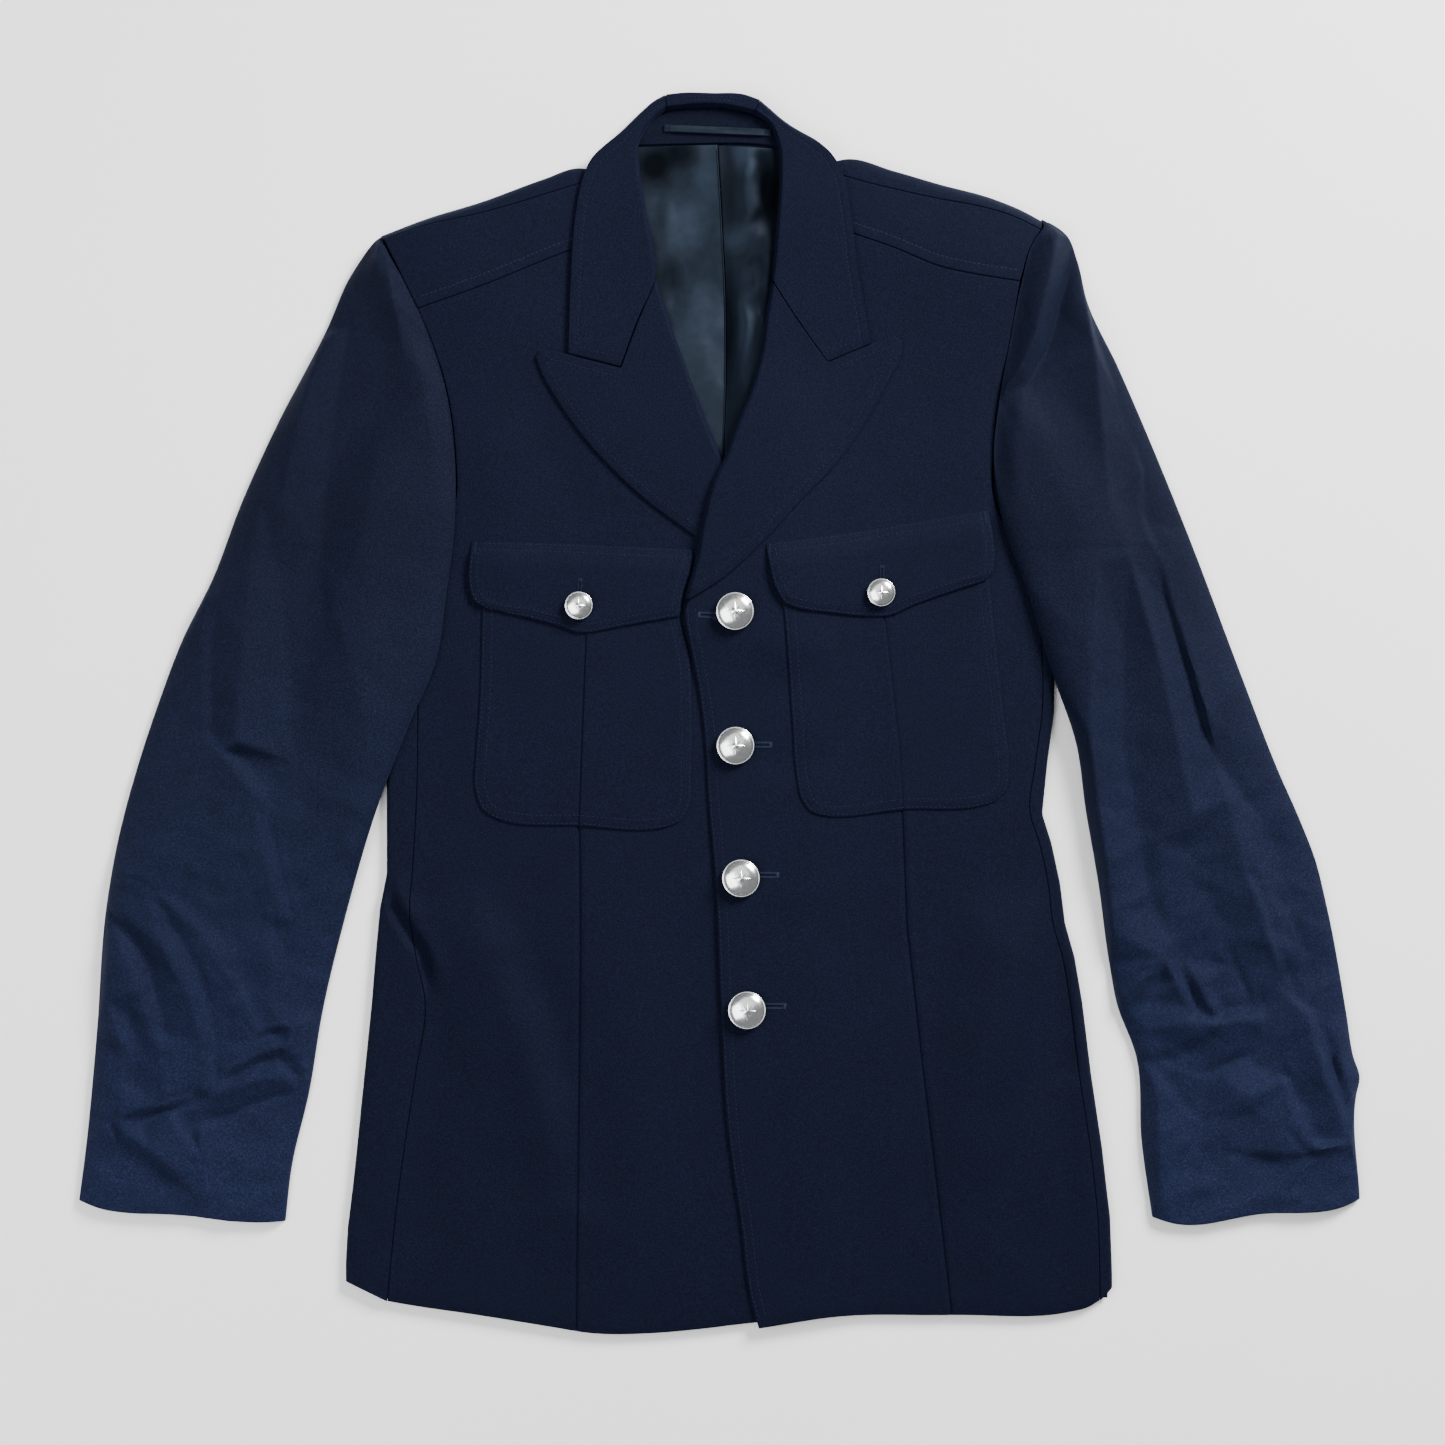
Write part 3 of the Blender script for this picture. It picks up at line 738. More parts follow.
def cloth_panel(name, curves, step, base, wall, relief, material, turned=(),
                radius=ROLL_RADIUS, stitched=(0, 0, 0, 0), line=None, seam=None, edge=0.9, joined=(),
                pressed=0.0, gentle=None):
    """A fine cloth panel: rounded edges, a dip at each stitched edge's row, folds and its seam line.

    The four sides are the first column, last column, first row and last row. stitched gives how far
    in from each the row of stitches runs, or 0. relief is added above and below, so the wall keeps
    its thickness. seam is the height pattern across the line that runs down the panel. joined lists
    the sides that run on into the next piece, so that they have no rounded edge. pressed is how
    much thinner the wall gets towards its free edges. turned lists the sides that roll over within
    the radius, and gentle is where such a side slopes down instead.
    """
    rows_near = EDGE_STEPS_SEWN if any(stitched[2:]) else EDGE_STEPS
    columns_near = EDGE_STEPS_SEWN if any(stitched[:2]) or line else EDGE_STEPS
    flat = fine_net(curves, step, rows_near, columns_near, line)
    x, y = flat[..., 0], flat[..., 1]
    low = base(x, y) + relief(x, y) + 0 * x
    thick = (wall(x, y) if callable(wall) else wall) + 0 * x
    away = edge_distances(flat)
    edge = np.broadcast_to(edge, 4)
    outer_z, inner_z, inner_xy = low + thick, low.copy(), flat.copy()
    turned_sides = [turn[0] for turn in turned]
    for side, gap in enumerate(away):
        if side not in turned_sides and side not in joined:
            outer_z -= edge[side] * (1.0 - quarter(gap, edge[side] * 1.3))
            inner_z += 0.25 * edge[side] * (1.0 - quarter(gap, edge[side]))
            if edge[side] > FLAT_EDGE:
                outer_z -= pressed * (1.0 - smooth(gap / PRESSED_REACH))
        if stitched[side]:
            row = stitched[side]
            outer_z -= STITCH_DIP * np.exp(-(((gap - row) / 0.8) ** 2))
            outer_z += EDGE_PUFF * np.exp(-(((gap - row * 0.45) / (row * 0.35)) ** 2))
    if seam is not None:
        outer_z += seam(x - line(y), y)
    unfolded = outer_z.copy()
    for end_index, share_of_row, stop in turned:
        column = 0 if end_index == 0 else -1
        border = flat[:, column]
        share = share_of_row(even(len(flat)))[:, None]
        drop = 1.0 - quarter(away[end_index], radius)
        if gentle is not None:
            drop += gentle(x, y) * (1.0 - smooth(away[end_index] / radius) - drop)
        seat = stop(border[:, 0], border[:, 1])[:, None]
        outer_z = np.minimum(outer_z, unfolded - share * drop * (unfolded[:, [column]] - seat))
        inner_z = np.minimum(inner_z, low - share * drop * (low[:, [column]] - seat))
        across = flat[:, -1 - column] - border
        width = np.linalg.norm(across, axis=1)[:, None]
        reach = np.minimum(radius * 2.5, width)
        inset = share * np.minimum(thick, MOST_INSET) * (1.0 - np.clip(away[end_index] / reach, 0.0, 1.0))
        inner_xy = inner_xy + inset[..., None] * (across / width)[:, None]
    outer, inner = np.dstack([flat, outer_z]), np.dstack([inner_xy, inner_z])
    SURFACE[name] = shown(shell_mesh(name + "_cloth", outer, inner, material), name)


def tree_of(names):
    """A search tree over the shown pieces with these names, to lay stitches and buttons on them."""
    points, faces = [], []
    for name in names:
        mesh = SURFACE[name].data
        first = len(points)
        points += [vertex.co[:] for vertex in mesh.vertices]
        faces += [tuple(first + corner for corner in face.vertices) for face in mesh.polygons]
    return BVHTree.FromPolygons(points, faces)


def top_of(tree, x, y):
    """Height of the top surface at x, y, in millimetres, or None beside it."""
    hit = tree.ray_cast(Vector((x * MM, y * MM, 0.1)), Vector((0, 0, -1)))[0]
    return None if hit is None else hit.z / MM


def line_points(points, spacing):
    """Points at an even spacing along a line."""
    return along(points, even(max(2, int(round(run_length(points) / spacing)) + 1)))


def inset_line(points, amount):
    """The line moved sideways by the amount, to its left as it runs."""
    run = np.gradient(np.array(points, float), axis=0)
    run /= np.linalg.norm(run, axis=1)[:, None]
    return np.array(points, float) + amount * np.column_stack([-run[:, 1], run[:, 0]])


class Thread:
    """Many short stitches that become one mesh."""

    def __init__(self, name, tree, material, width=THREAD):
        self.name, self.tree, self.material, self.width = name, tree, material, width
        self.points, self.faces = [], []

    def stitch(self, start, end, rise=0.0):
        """One stitch from x, y to x, y: it rises out of the cloth, lies on it and goes back in."""
        width = self.width
        heights = [top_of(self.tree, *place) for place in (start, end)]
        if None in heights:
            return
        start, end = np.array([*start, heights[0]]), np.array([*end, heights[1]])
        run = end - start
        side = np.array([-run[1], run[0], 0.0])
        side *= width / 2 / max(np.linalg.norm(side), 1e-9)
        up = np.array([0.0, 0.0, width / 2])
        first = len(self.points)
        self.points += [start - (0, 0, STITCH_SINK), end - (0, 0, STITCH_SINK)]
        for share in (0.22, 0.78):
            centre = start + share * run + (0, 0, rise + width * 0.22)
            self.points += [centre + side, centre + up, centre - side, centre - up]
        ring = first + 2
        for k in range(4):
            after = (k + 1) % 4
            self.faces.append((first, ring + after, ring + k))
            self.faces.append((ring + k, ring + after, ring + 4 + after, ring + 4 + k))
            self.faces.append((first + 1, ring + 4 + k, ring + 4 + after))

    def row(self, points):
        """A row of straight stitches along a line."""
        places = line_points(points, STITCH + STITCH_GAP)
        share = STITCH_GAP / (STITCH + STITCH_GAP) / 2
        for start, end in zip(places[:-1], places[1:]):
            self.stitch(start + share * (end - start), end - share * (end - start))

    def bar(self, centre, direction, length, reach, count):
        """A bar tack: close stitches across a short line."""
        centre, run = np.array(centre, float), np.array(direction, float)
        run /= np.hypot(*run)
        across = np.array([-run[1], run[0]])
        for k in range(count):
            place = centre + run * length * (k / (count - 1) - 0.5)
            tilt = run * 0.08 * ((k * 7) % 3 - 1)
            side = across * reach / 2 + tilt
            self.stitch(place - side, place + side, rise=0.14)

    def buttonhole(self, start, end, half=1.0, lip=1.5, eye=0.0):
        """Two lips of close stitches along a slit, with a bar tack at the far end and maybe an eye."""
        start, end = np.array(start, float), np.array(end, float)
        length = np.hypot(*(end - start))
        run = (end - start) / length
        across = np.array([-run[1], run[0]])
        for k in range(int(length / LIP_SPACING)):
            place = start + run * k * LIP_SPACING
            wobble = 0.08 * math.sin(k * 2.1)
            for side in (1, -1):
                near, far = half * 0.35, half * 0.35 + lip + wobble
                self.stitch(place + side * across * near, place + side * across * far, rise=0.22)
        self.bar(end + run * 0.5, run, 1.3, 2 * lip + 1.2, 6)
        if eye:
            for k in range(13):
                turn = math.radians(60 + k * 20)
                out = run * math.cos(turn) + across * math.sin(turn)
                self.stitch(start + out * eye * 0.5, start + out * (eye + lip * 0.8), rise=0.22)

    def make(self, slot="wool"):
        shown(mesh_piece(self.name, self.points, self.faces, self.material))


def welt(name, tree, line, radius, depth, material):
    """A thin rounded cord that follows the surface, sunk by this share of its radius."""
    places = [(x, y, top_of(tree, x, y)) for x, y in line_points(line, 2.0)]
    spine = np.array([place for place in places if place[2] is not None])
    run = np.gradient(spine, axis=0)
    side = np.column_stack([-run[:, 1], run[:, 0], 0 * run[:, 0]])
    side /= np.linalg.norm(side, axis=1)[:, None]
    points, faces, count, sides = [], [], len(spine), 6
    for k, centre in enumerate(spine):
        share = radius * (0.15 if k in (0, count - 1) else 1.0)
        for turn in np.arange(sides) * 2 * math.pi / sides:
            up = math.sin(turn) * share - depth * radius
            points.append(centre + side[k] * math.cos(turn) * share + (0, 0, up))
    for k in range(count - 1):
        for j in range(sides):
            a, b = k * sides + j, k * sides + (j + 1) % sides
            faces.append((a, b, b + sides, a + sides))
    faces.append(tuple(range(sides - 1, -1, -1)))
    faces.append(tuple(range((count - 1) * sides, count * sides)))
    shown(mesh_piece(name, points, faces, material))


@functools.cache
def drape(side):
    """Folds and slow swells that every layer of the body shares on one side."""
    rim = front_outer(side) + FRONT_INNER[side] + HEM[side] + SHOULDER_EDGE[side]
    soft = facets(BODY_FOLDS[side], rim, 1.6, 30)

    def height(x, y):
        swells = SWELL * waves(x, y, 46.0, BODY_SEED[side])
        return creases(BODY_CREASES[side], x, y) + soft(x, y) + swells

    return height


def between(first, last):
    """The four curves of a panel between two long curves with straight ends."""
    return first, last, (first[0], last[0]), (first[-1], last[-1])


def still(x, y):
    return 0 * x


def make_back(side):
    sign = SIGN[side]
    armhole = inset_curve(ARMHOLE[side][1:-1], -sign * 1.2)
    outer = BACK_HEM[side][-1:] + BACK_SIDE_SEAM[side][-2::-1] + armhole[::-1] + BACK_TOP[side][-1:]
    centre = BACK_HEM[side][0], (sign * 0.2, 0.0), BACK_TOP[side][0]
    curves = (centre, outer, BACK_HEM[side], BACK_TOP[side])
    cloth_panel("back_" + side, curves, 6.0, back_base, BACK_WALL, still, WOOL, edge=0.7)


def make_side(side):
    """The side body, from its seam on the front round the side fold to its seam under the back."""
    sign = SIGN[side]
    seams = along(front_outer(side), even(231))
    seams = seams[seams[:, 1] < UNDERARM[side][-1][1] + 1]
    back_seam = along(BACK_SIDE_SEAM[side][::-1], even(60))
    relief = drape(side)
    outer, inner = [], []
    angles = np.radians(np.linspace(84, -90, 13))
    for number, (seam, y) in enumerate(seams):
        fold = abs(side_fold_x(side, y))
        lift = float(relief(np.array(sign * fold), np.array(y)))
        top = front_base(fold, y) + FRONT_WALL + lift
        middle = top / 2
        centre = fold - middle
        first = abs(seam) + SEAM
        behind = abs(np.interp(y, back_seam[:, 1], back_seam[:, 0]))
        last = behind + SEAM + LAYER + UNDERARM_EASE * smooth((y - 30) / 60)
        across = first + SIDE_STEPS[-1] + 0.14 * np.arange(1, 7) * (centre - first - SIDE_STEPS[-1])
        x = np.concatenate([first + np.array(SIDE_STEPS), across])
        upper = top + (relief(sign * x, y + 0 * x) - lift) * smooth((centre - x) / 5)
        rounding = 0.5 * (1 - quarter(x - first, 0.7))
        flat = centre - 16 + even(3) * (last - centre + 16)
        drop = SIDE_HEM_DROP[side] * smooth(number / (len(seams) - 1) * 5 - 4)
        for net, radius, z, lying in ((outer, middle, upper - rounding, 0.0),
                                      (inner, middle - BACK_WALL, upper - FRONT_WALL, BACK_WALL)):
            px = np.concatenate([x, centre + radius * np.cos(angles), flat])
            pz = np.concatenate([z, middle + radius * np.sin(angles), 0 * flat + lying])
            py = y + drop * np.clip((px - first) / (fold - first), 0, 1)
            net.append(np.column_stack([sign * px, py, pz]))
    obj = shell_mesh("side_%s_cloth" % side, np.array(outer), np.array(inner), WOOL)
    SURFACE["side_" + side] = shown(obj, "side_" + side)


def x_of(points):
    """The x of a line down a panel, from y."""
    y, x = np.array(points)[::-1].T[::-1]
    return lambda at: np.interp(at, y, x)


def dart_height(side):
    """The dart's seam: a narrow dip with a soft swell on both sides, which starts under the pocket."""
    foot = POCKET_FOOT[side][2][1]

    def height(d, y):
        shape = -1.0 * np.exp(-((d / 0.6) ** 2)) - 0.35 * np.exp(-((d / 3.2) ** 2))
        shape = shape + 0.22 * np.exp(-(((abs(d) - 3.4) / 1.6) ** 2))
        return shape * smooth((foot + 8 - y) / 10)

    return height


def pleat_height(side):
    """The pocket's pleat: a folded edge that stands up on the inner side of its line."""

    def height(d, y):
        d = -SIGN[side] * d
        raised = smooth(d / 0.5 + 0.5) * np.exp(-(np.clip(d, 0, 99) / 17.0) ** 2)
        return 0.5 * raised - 0.45 * np.exp(-(((d + 0.6) / 0.7) ** 2))

    return height


def make_front(side):
    curves = (FRONT_INNER[side], front_outer(side), YOKE_SEAM[side], HEM[side])
    cloth_panel("front_" + side, curves, 3.4, panel_base(side), front_wall, drape(side), WOOL,
                stitched=(FRONT_ROWS[1] if side == "left" else 0, 0, 0, 0), line=x_of(DART[side]),
                seam=dart_height(side), edge=(0.9, 0.5, 0.55, 0.9), pressed=0.5)


def reaching(points, amount):
    """The curve with its last point moved on by the amount, to lie under the next piece."""
    (x0, y0), (x1, y1) = points[-2:]
    share = amount / np.hypot(x1 - x0, y1 - y0)
    return tuple(points[:-1]) + ((x1 + share * (x1 - x0), y1 + share * (y1 - y0)),)


def make_yoke(side):
    """The stitched strip on the chest side of the shoulder, and the narrow edge beyond its seam."""
    foot = tuple((x, y + SEAM) for x, y in YOKE_SEAM[side])
    seam = SHOULDER_SEAM[side]
    armhole = tuple(point for point in ARMHOLE[side] if foot[-1][1] + 6 < point[1] < seam[-1][1] - 6)
    outer = seam[-1:] + inset_curve(armhole, -SIGN[side] * SEAM) + foot[-1:]
    curves = ((seam[0], foot[0]), outer, seam, foot)
    cloth_panel("yoke_" + side, curves, 3.0, panel_base(side), lambda x, y: YOKE_WALL + padding(x, y),
                drape(side), WOOL, stitched=(0, 0, 0, YOKE_ROW), edge=(0.5, 0.5, 0.45, 0.55))
    seam = reaching(tuple((x, y + SEAM) for x, y in seam), SHOULDER_OVERLAP)
    edge = reaching(SHOULDER_EDGE[side], SHOULDER_OVERLAP)
    cloth_panel("shoulder_" + side, between(seam, edge), 2.6, panel_base(side), front_wall, drape(side), WOOL,
                turned=((1, whole, lining_base),), radius=SHOULDER_RADIUS, joined=(3,), edge=0.45)


def make_lapel(side):
    base, relief = panel_base(side), drape(side)
    gap = LAYER if side == "right" else LAYER + 0.4
    roll, outer = LAPEL_ROLL[side], LAPEL_OUTER[side]

    def under(x, y):
        rolling = smooth((distance_to(outer, x, y)[0] - 8) / 26)
        return base(x, y) + FRONT_WALL + padding(x, y) + gap + 0.5 * rolling

    cloth_panel("lapel_" + side, (roll, outer, LAPEL_TOP[side], (roll[-1], outer[-1])), 2.6, under,
                LAPEL_WALL, relief, WOOL, turned=((0, whole, lambda x, y: base(x, y) + relief(x, y) + 0.2),),
                radius=3.5, stitched=(0, LAPEL_ROW, 0, 0), edge=(0.7, 0.7, 0.5, 0.7), pressed=0.55)


def make_collar(side):
    base = panel_base(side)
    inner = COLLAR_INNER[side]
    gorge = share_at(inner, 2)
    turned = ((0, lambda t: smooth((t - gorge) / 0.08), neck_rim),
              (1, lambda t: smooth((t - LEAF_SHARE) / 0.08), fall_rim))
    cloth_panel("collar_" + side, between(inner, COLLAR_OUTER[side]), 2.4,
                lambda x, y: base(x, y) + YOKE_WALL + padding(x, y) + LAYER, COLLAR_WALL, drape(side), WOOL,
                turned=turned, radius=2.4, stitched=(0, COLLAR_ROW, COLLAR_ROW, 0), joined=(3,),
                edge=0.7, pressed=0.6)


def neck_rim(x, y):
    return lining_base(x, y) + LINING_WALL + SEAM


def satin_height(x, y):
    """Soft folds of the lining, which die out where the fronts lie on it."""
    free = smooth((40 - abs(x + 4)) / 14) * smooth((y - 160) / 50) * smooth((356 - y) / 5)
    return free * (1.9 + SATIN_FOLDS(x, y) + 0.15 * waves(x, y, 14.0, 5))


def make_neck():
    """What shows in the neck opening, from the collar stand to the hanger loop."""
    cloth_panel("collar_stand", between(STAND_FOOT, STAND_TOP), 2.0,
                lambda x, y: front_base(x, y) + YOKE_WALL + LAYER, COLLAR_WALL, still, WOOL,
                turned=((0, whole, neck_rim), (1, whole, fall_rim)), radius=1.5, joined=(2, 3), pressed=0.5)
    cloth_panel("collar_back", between(FALL_FOOT, FALL_TOP), 4.0, still, FALL_WALL, still, WOOL, edge=0.8)
    cloth_panel("neck_facing", between(FACING_FOOT, FACING_TOP), 2.0, lining_base, LINING_WALL, still,
                WOOL_INSIDE, edge=0.5)
    for side, material in (("right", SATIN_LIT), ("left", SATIN)):
        centre = inset_curve(LINING_CENTRE, SIGN[side] * SEAM / 2)
        cloth_panel("lining_" + side, between(centre, LINING_OUTER[side]), 1.8, lining_base, LINING_WALL,
                    satin_height, material, edge=0.5)
    half = LOOP_WIDTH / 2
    x0, x1 = LOOP_ENDS[0][0], LOOP_ENDS[1][0]

    def loop_lift(x, y):
        ends = np.clip(np.minimum(x - x0, x1 - x) / 9.0, 0.0, 1.0)
        return 0.9 * smooth(ends) + 0.25 * (1 - ends) * np.sin(y * 4.0)

    lower, upper = (tuple((x, y + rise) for x, y in LOOP_ENDS) for rise in (-half, half))
    cloth_panel("hanger_loop", between(lower, upper), 0.9, neck_rim, LOOP_WALL, loop_lift, SATIN_LIT,
                edge=0.35)


def make_pocket(side):
    mouth = (POCKET_INNER[side][0], POCKET_OUTER[side][0])
    curves = (POCKET_INNER[side], POCKET_OUTER[side], mouth, POCKET_FOOT[side])
    row = POCKET_ROWS[1]
    cloth_panel("pocket_" + side, curves, 2.8, lambda x, y: panel_top(side, x, y) + POCKET_GAP, POCKET_WALL,
                drape(side), WOOL, stitched=(row, row, 0, row), line=x_of(PLEAT[side]),
                seam=pleat_height(side), edge=0.6, pressed=0.5)
    top_x, top_y = np.array(sorted(FLAP_TOP[side])).T

    def flap_base(x, y):
        hung = smooth((np.interp(x, top_x, top_y) - y + 1) / FLAP_HINGE)
        return panel_top(side, x, y) + POCKET_GAP + (POCKET_WALL + POCKET_GAP + 0.6) * hung

    curves = (FLAP_INNER[side], FLAP_OUTER[side], FLAP_TOP[side], FLAP_FOOT[side])
    cloth_panel("flap_" + side, curves, 2.4, flap_base, FLAP_WALL, drape(side), WOOL,
                stitched=(FLAP_ROWS[1],) * 4, edge=0.6, pressed=0.75)


def crumpled(side, seed):
    """A net of small uneven facets, as worn cloth has between its larger folds."""
    net = []
    for i in range(14, 36):
        for j in range(-26, 8):
            x = SIGN[side] * 12.0 * i + 4.6 * math.sin(2.3 * i + 5.1 * j + seed)
            y = 14.0 * j + 5.4 * math.sin(3.7 * i + 1.9 * j + seed)
            rise = 0.5 + 0.5 * math.sin(4.9 * i + 2.7 * j + 1.3 * math.sin(i * j) + seed)
            net.append(((x, y, rise),))
    return facets(net, (), CRUMPLE, 1)


def make_sleeve(side):
    """The top sleeve with its folds, and the flat under sleeve below it."""
    inner, outer = SLEEVE_INNER[side], SLEEVE_OUTER[side]
    curves = (inner, outer, (inner[0], outer[0]), CUFF[side])
    base = sleeve_base(side)
    folds = facets(SLEEVE_FOLDS_SEEN[side], inner + outer + CUFF[side], FOLD_RISE, 1)
    small = crumpled(side, CRUMPLE_SEED[side])

    def near_head(x, y):
        away = distance_to(ARMHOLE[side], x, y)[0]
        upper = smooth((y - 118) / 40) * quarter(head_gap(x, y), HEAD_TOP_REACH)
        return smooth(1.0 - away / HEAD_REACH) * upper

    def head_gap(x, y):
        return distance_to((inner[0], outer[0]), x, y)[0]

    def cover(x, y):
        full = base(x, y) + SLEEVE_WALL + SLEEVE_SPACE + SLEEVE_FULLNESS
        top = panel_top(side, x, y) + 1.4
        return full + near_head(x, y) * np.maximum(top - full, 0.0) - SLEEVE_WALL

    def relief(x, y):
        uneven = SLEEVE_LOFT + SLEEVE_SWELL * waves(x, y, 34.0, SLEEVE_SEED[side]) + folds(x, y)
        uneven = uneven - (0.25 + 0.75 * smooth((20 - y) / 120)) * small(x, y)
        return creases(SLEEVE_CREASES[side], x, y) + uneven - 2.0 * (1.0 - quarter(head_gap(x, y), 8.0))

    def rim(x, y):
        low = base(x, y) + SLEEVE_WALL + SEAM
        return low + near_head(x, y) * np.maximum(panel_top(side, x, y) - 0.4 - low, 0.0)

    cloth_panel("sleeve_" + side, curves, 2.0, cover, SLEEVE_WALL, relief, SLEEVE_WOOL,
                turned=((0, whole, rim), (1, whole, rim)), radius=15.0, joined=(2,), gentle=near_head)
    cloth_panel("under_sleeve_" + side, curves, 6.0, base, SLEEVE_WALL, still, SLEEVE_WOOL,
                edge=0.8)


def allowance(name, side, rows, low, thick, rounding, material):
    """A strip of seam allowance below a seam, which closes the view between two pieces."""
    lower = [np.column_stack([row, low]) for row in rows]
    upper = [np.column_stack([row, low + thick]) for row in rows]
    for border in (upper[0], upper[-1]):
        border[:, 2] -= rounding
    obj = shown(shell_mesh(name + "_" + side, np.array(upper), np.array(lower), material))


def make_armhole(side):
    """The allowance under the armhole, between the sleeve and the body."""
    (x0, y0) = ARMHOLE[side][0]
    line = part_of(((x0 + SIGN[side] * 2.1, y0 + 4.0),) + ARMHOLE[side] + UNDERARM[side], 0.0, 1.0, 40)
    inner = row_inside(line, 3.0, (0, 150))
    grown = 3.6 + 4.4 * smooth(even(40) * 9.0)
    outer = line - (row_inside(line, 1.0, (0, 150)) - line) * grown[:, None]
    rows = [inner + share * (outer - inner) for share in (0.0, 0.12, 0.35, 0.65, 0.88, 1.0)]
    low = front_base(*line.T) - 1.5
    allowance("armhole", side, rows, low, 1.1, 0.4, SLEEVE_WOOL)


def make_hem_corner(side):
    """The allowance of the side seam at the hem, between the front and the side body."""
    seam = along(front_outer(side), even(461))
    hem = seam[:, 1].min()
    seam = seam[(seam[:, 1] > hem + 0.7) & (seam[:, 1] < hem + 24.0)]
    rows = [seam + (away, 0.0) for away in (-5.2, -4.6, -2.5, 0.0, 2.5, 4.6, 5.2)]
    low = front_base(*seam.T) - 1.3
    allowance("hem_corner", side, rows, low, 0.9, 0.3, WOOL)


def row_inside(points, amount, centre):
    """The line moved by the amount towards the centre point."""
    options = [inset_line(points, amount), inset_line(points, -amount)]
    return min(options, key=lambda line: np.linalg.norm(line - np.array(centre), axis=1).mean())


def part_of(points, first, last, count=24):
    return along(points, np.linspace(first, last, count))


def sew(name, nodes, rows, material):
    """Rows of stitches on these pieces."""
    thread = Thread("stitches_" + name, tree_of(nodes), material)
    for points in rows:
        thread.row(points)
    return thread


def make_stitching(side):
    """Topstitching of the lapel, collar, yoke, pocket and flap on one side."""
    outer, top = LAPEL_OUTER[side], LAPEL_TOP[side]
    centre = np.array(LAPEL_ROLL[side]).mean(axis=0)
    rows = (row_inside(part_of(outer, 0.03, 0.985), LAPEL_ROW, centre),
            row_inside(part_of(top, share_at(top, 2) + 0.03, 0.9, 10), LAPEL_ROW, outer[-1]))
    sew("lapel_" + side, ["lapel_" + side], rows, THREAD_DARK).make()
    inner, outer = COLLAR_INNER[side], COLLAR_OUTER[side]
    rows = (row_inside(part_of(outer, 0.025, 0.98, 40), COLLAR_ROW, (0, 300)),
            row_inside(part_of((inner[0], outer[0]), 0.0, 0.86, 6), COLLAR_ROW, (0, 400)))
    sew("collar_" + side, ["collar_" + side], rows, THREAD_DARK).make()
    rows = [part_of(YOKE_SEAM[side], 0.0, 0.99) + (0, YOKE_ROW)]
    sew("yoke_" + side, ["yoke_" + side, "front_" + side], rows, THREAD_PALE).make()
    x, y = POCKET_BUTTONS[side]
    edges = part_of(POCKET_INNER[side] + POCKET_FOOT[side][1:] + POCKET_OUTER[side][-2::-1], 0.02, 0.98, 90)
    rows = [row_inside(edges, amount, (x, y - 60)) for amount in POCKET_ROWS]
    sew("pocket_" + side, ["pocket_" + side], rows, THREAD_DARK).make()
    top = FLAP_TOP[side]
    rim = FLAP_INNER[side] + FLAP_FOOT[side][1:] + FLAP_OUTER[side][-2::-1]
    edges = part_of(rim, 0.015, 0.985, 80), part_of(top, 0.01, 0.99, 20)
    rows = [row_inside(line, amount, (x, y + 18)) for line in edges for amount in FLAP_ROWS]
    flap = sew("flap_" + side, ["flap_" + side], rows, THREAD_DARK)
    for end, towards in ((top[0], top[1]), (top[-1], top[-2])):
        run = np.array(towards) - end
        run /= np.hypot(*run)
        flap.bar(np.array(end) + run * 2.4 - (0, 4.2), (0.08 * np.sign(run[0]), 1), 7.0, 2.2, 14)
    flap.buttonhole((x + 0.2, y + 6.0), (x + 0.6, y + 15.5), half=0.9, lip=1.3)
    flap.make()


def make_front_edge():
    """Two rows down the wearer's left front edge, and the four buttonholes."""
    line = part_of([point for point in FRONT_INNER["left"] if point[1] < 66], 0.0, 0.985, 60)
    rows = [row_inside(line, amount, (60, -150)) for amount in FRONT_ROWS]
    sew("front_edge", ["front_left"], rows, THREAD_DARK).make()
    holes = Thread("buttonholes_front", tree_of(["front_left", "lapel_left"]), THREAD_PALE)
    for start, end, eye in BUTTONHOLES:
        holes.buttonhole(start, end, half=1.3, lip=1.7, eye=eye)
    holes.make()


def lathe(profile, turns):
    """Points and faces of a profile of radius and height turned about a vertical axis."""
    points, faces = [(0.0, 0.0, profile[0][1])], []
    for r, z in profile[1:-1]:
        points += [(r * math.cos(a), r * math.sin(a), z) for a in np.arange(turns) * 2 * math.pi / turns]
    points.append((0.0, 0.0, profile[-1][1]))
    rings = len(profile) - 2
    for k in range(turns):
        after = (k + 1) % turns
        faces.append((0, 1 + after, 1 + k))
        faces.append((len(points) - 1, 1 + (rings - 1) * turns + k, 1 + (rings - 1) * turns + after))
        for ring in range(rings - 1):
            a, b = 1 + ring * turns + k, 1 + ring * turns + after
            faces.append((a, b, b + turns, a + turns))
    return points, faces


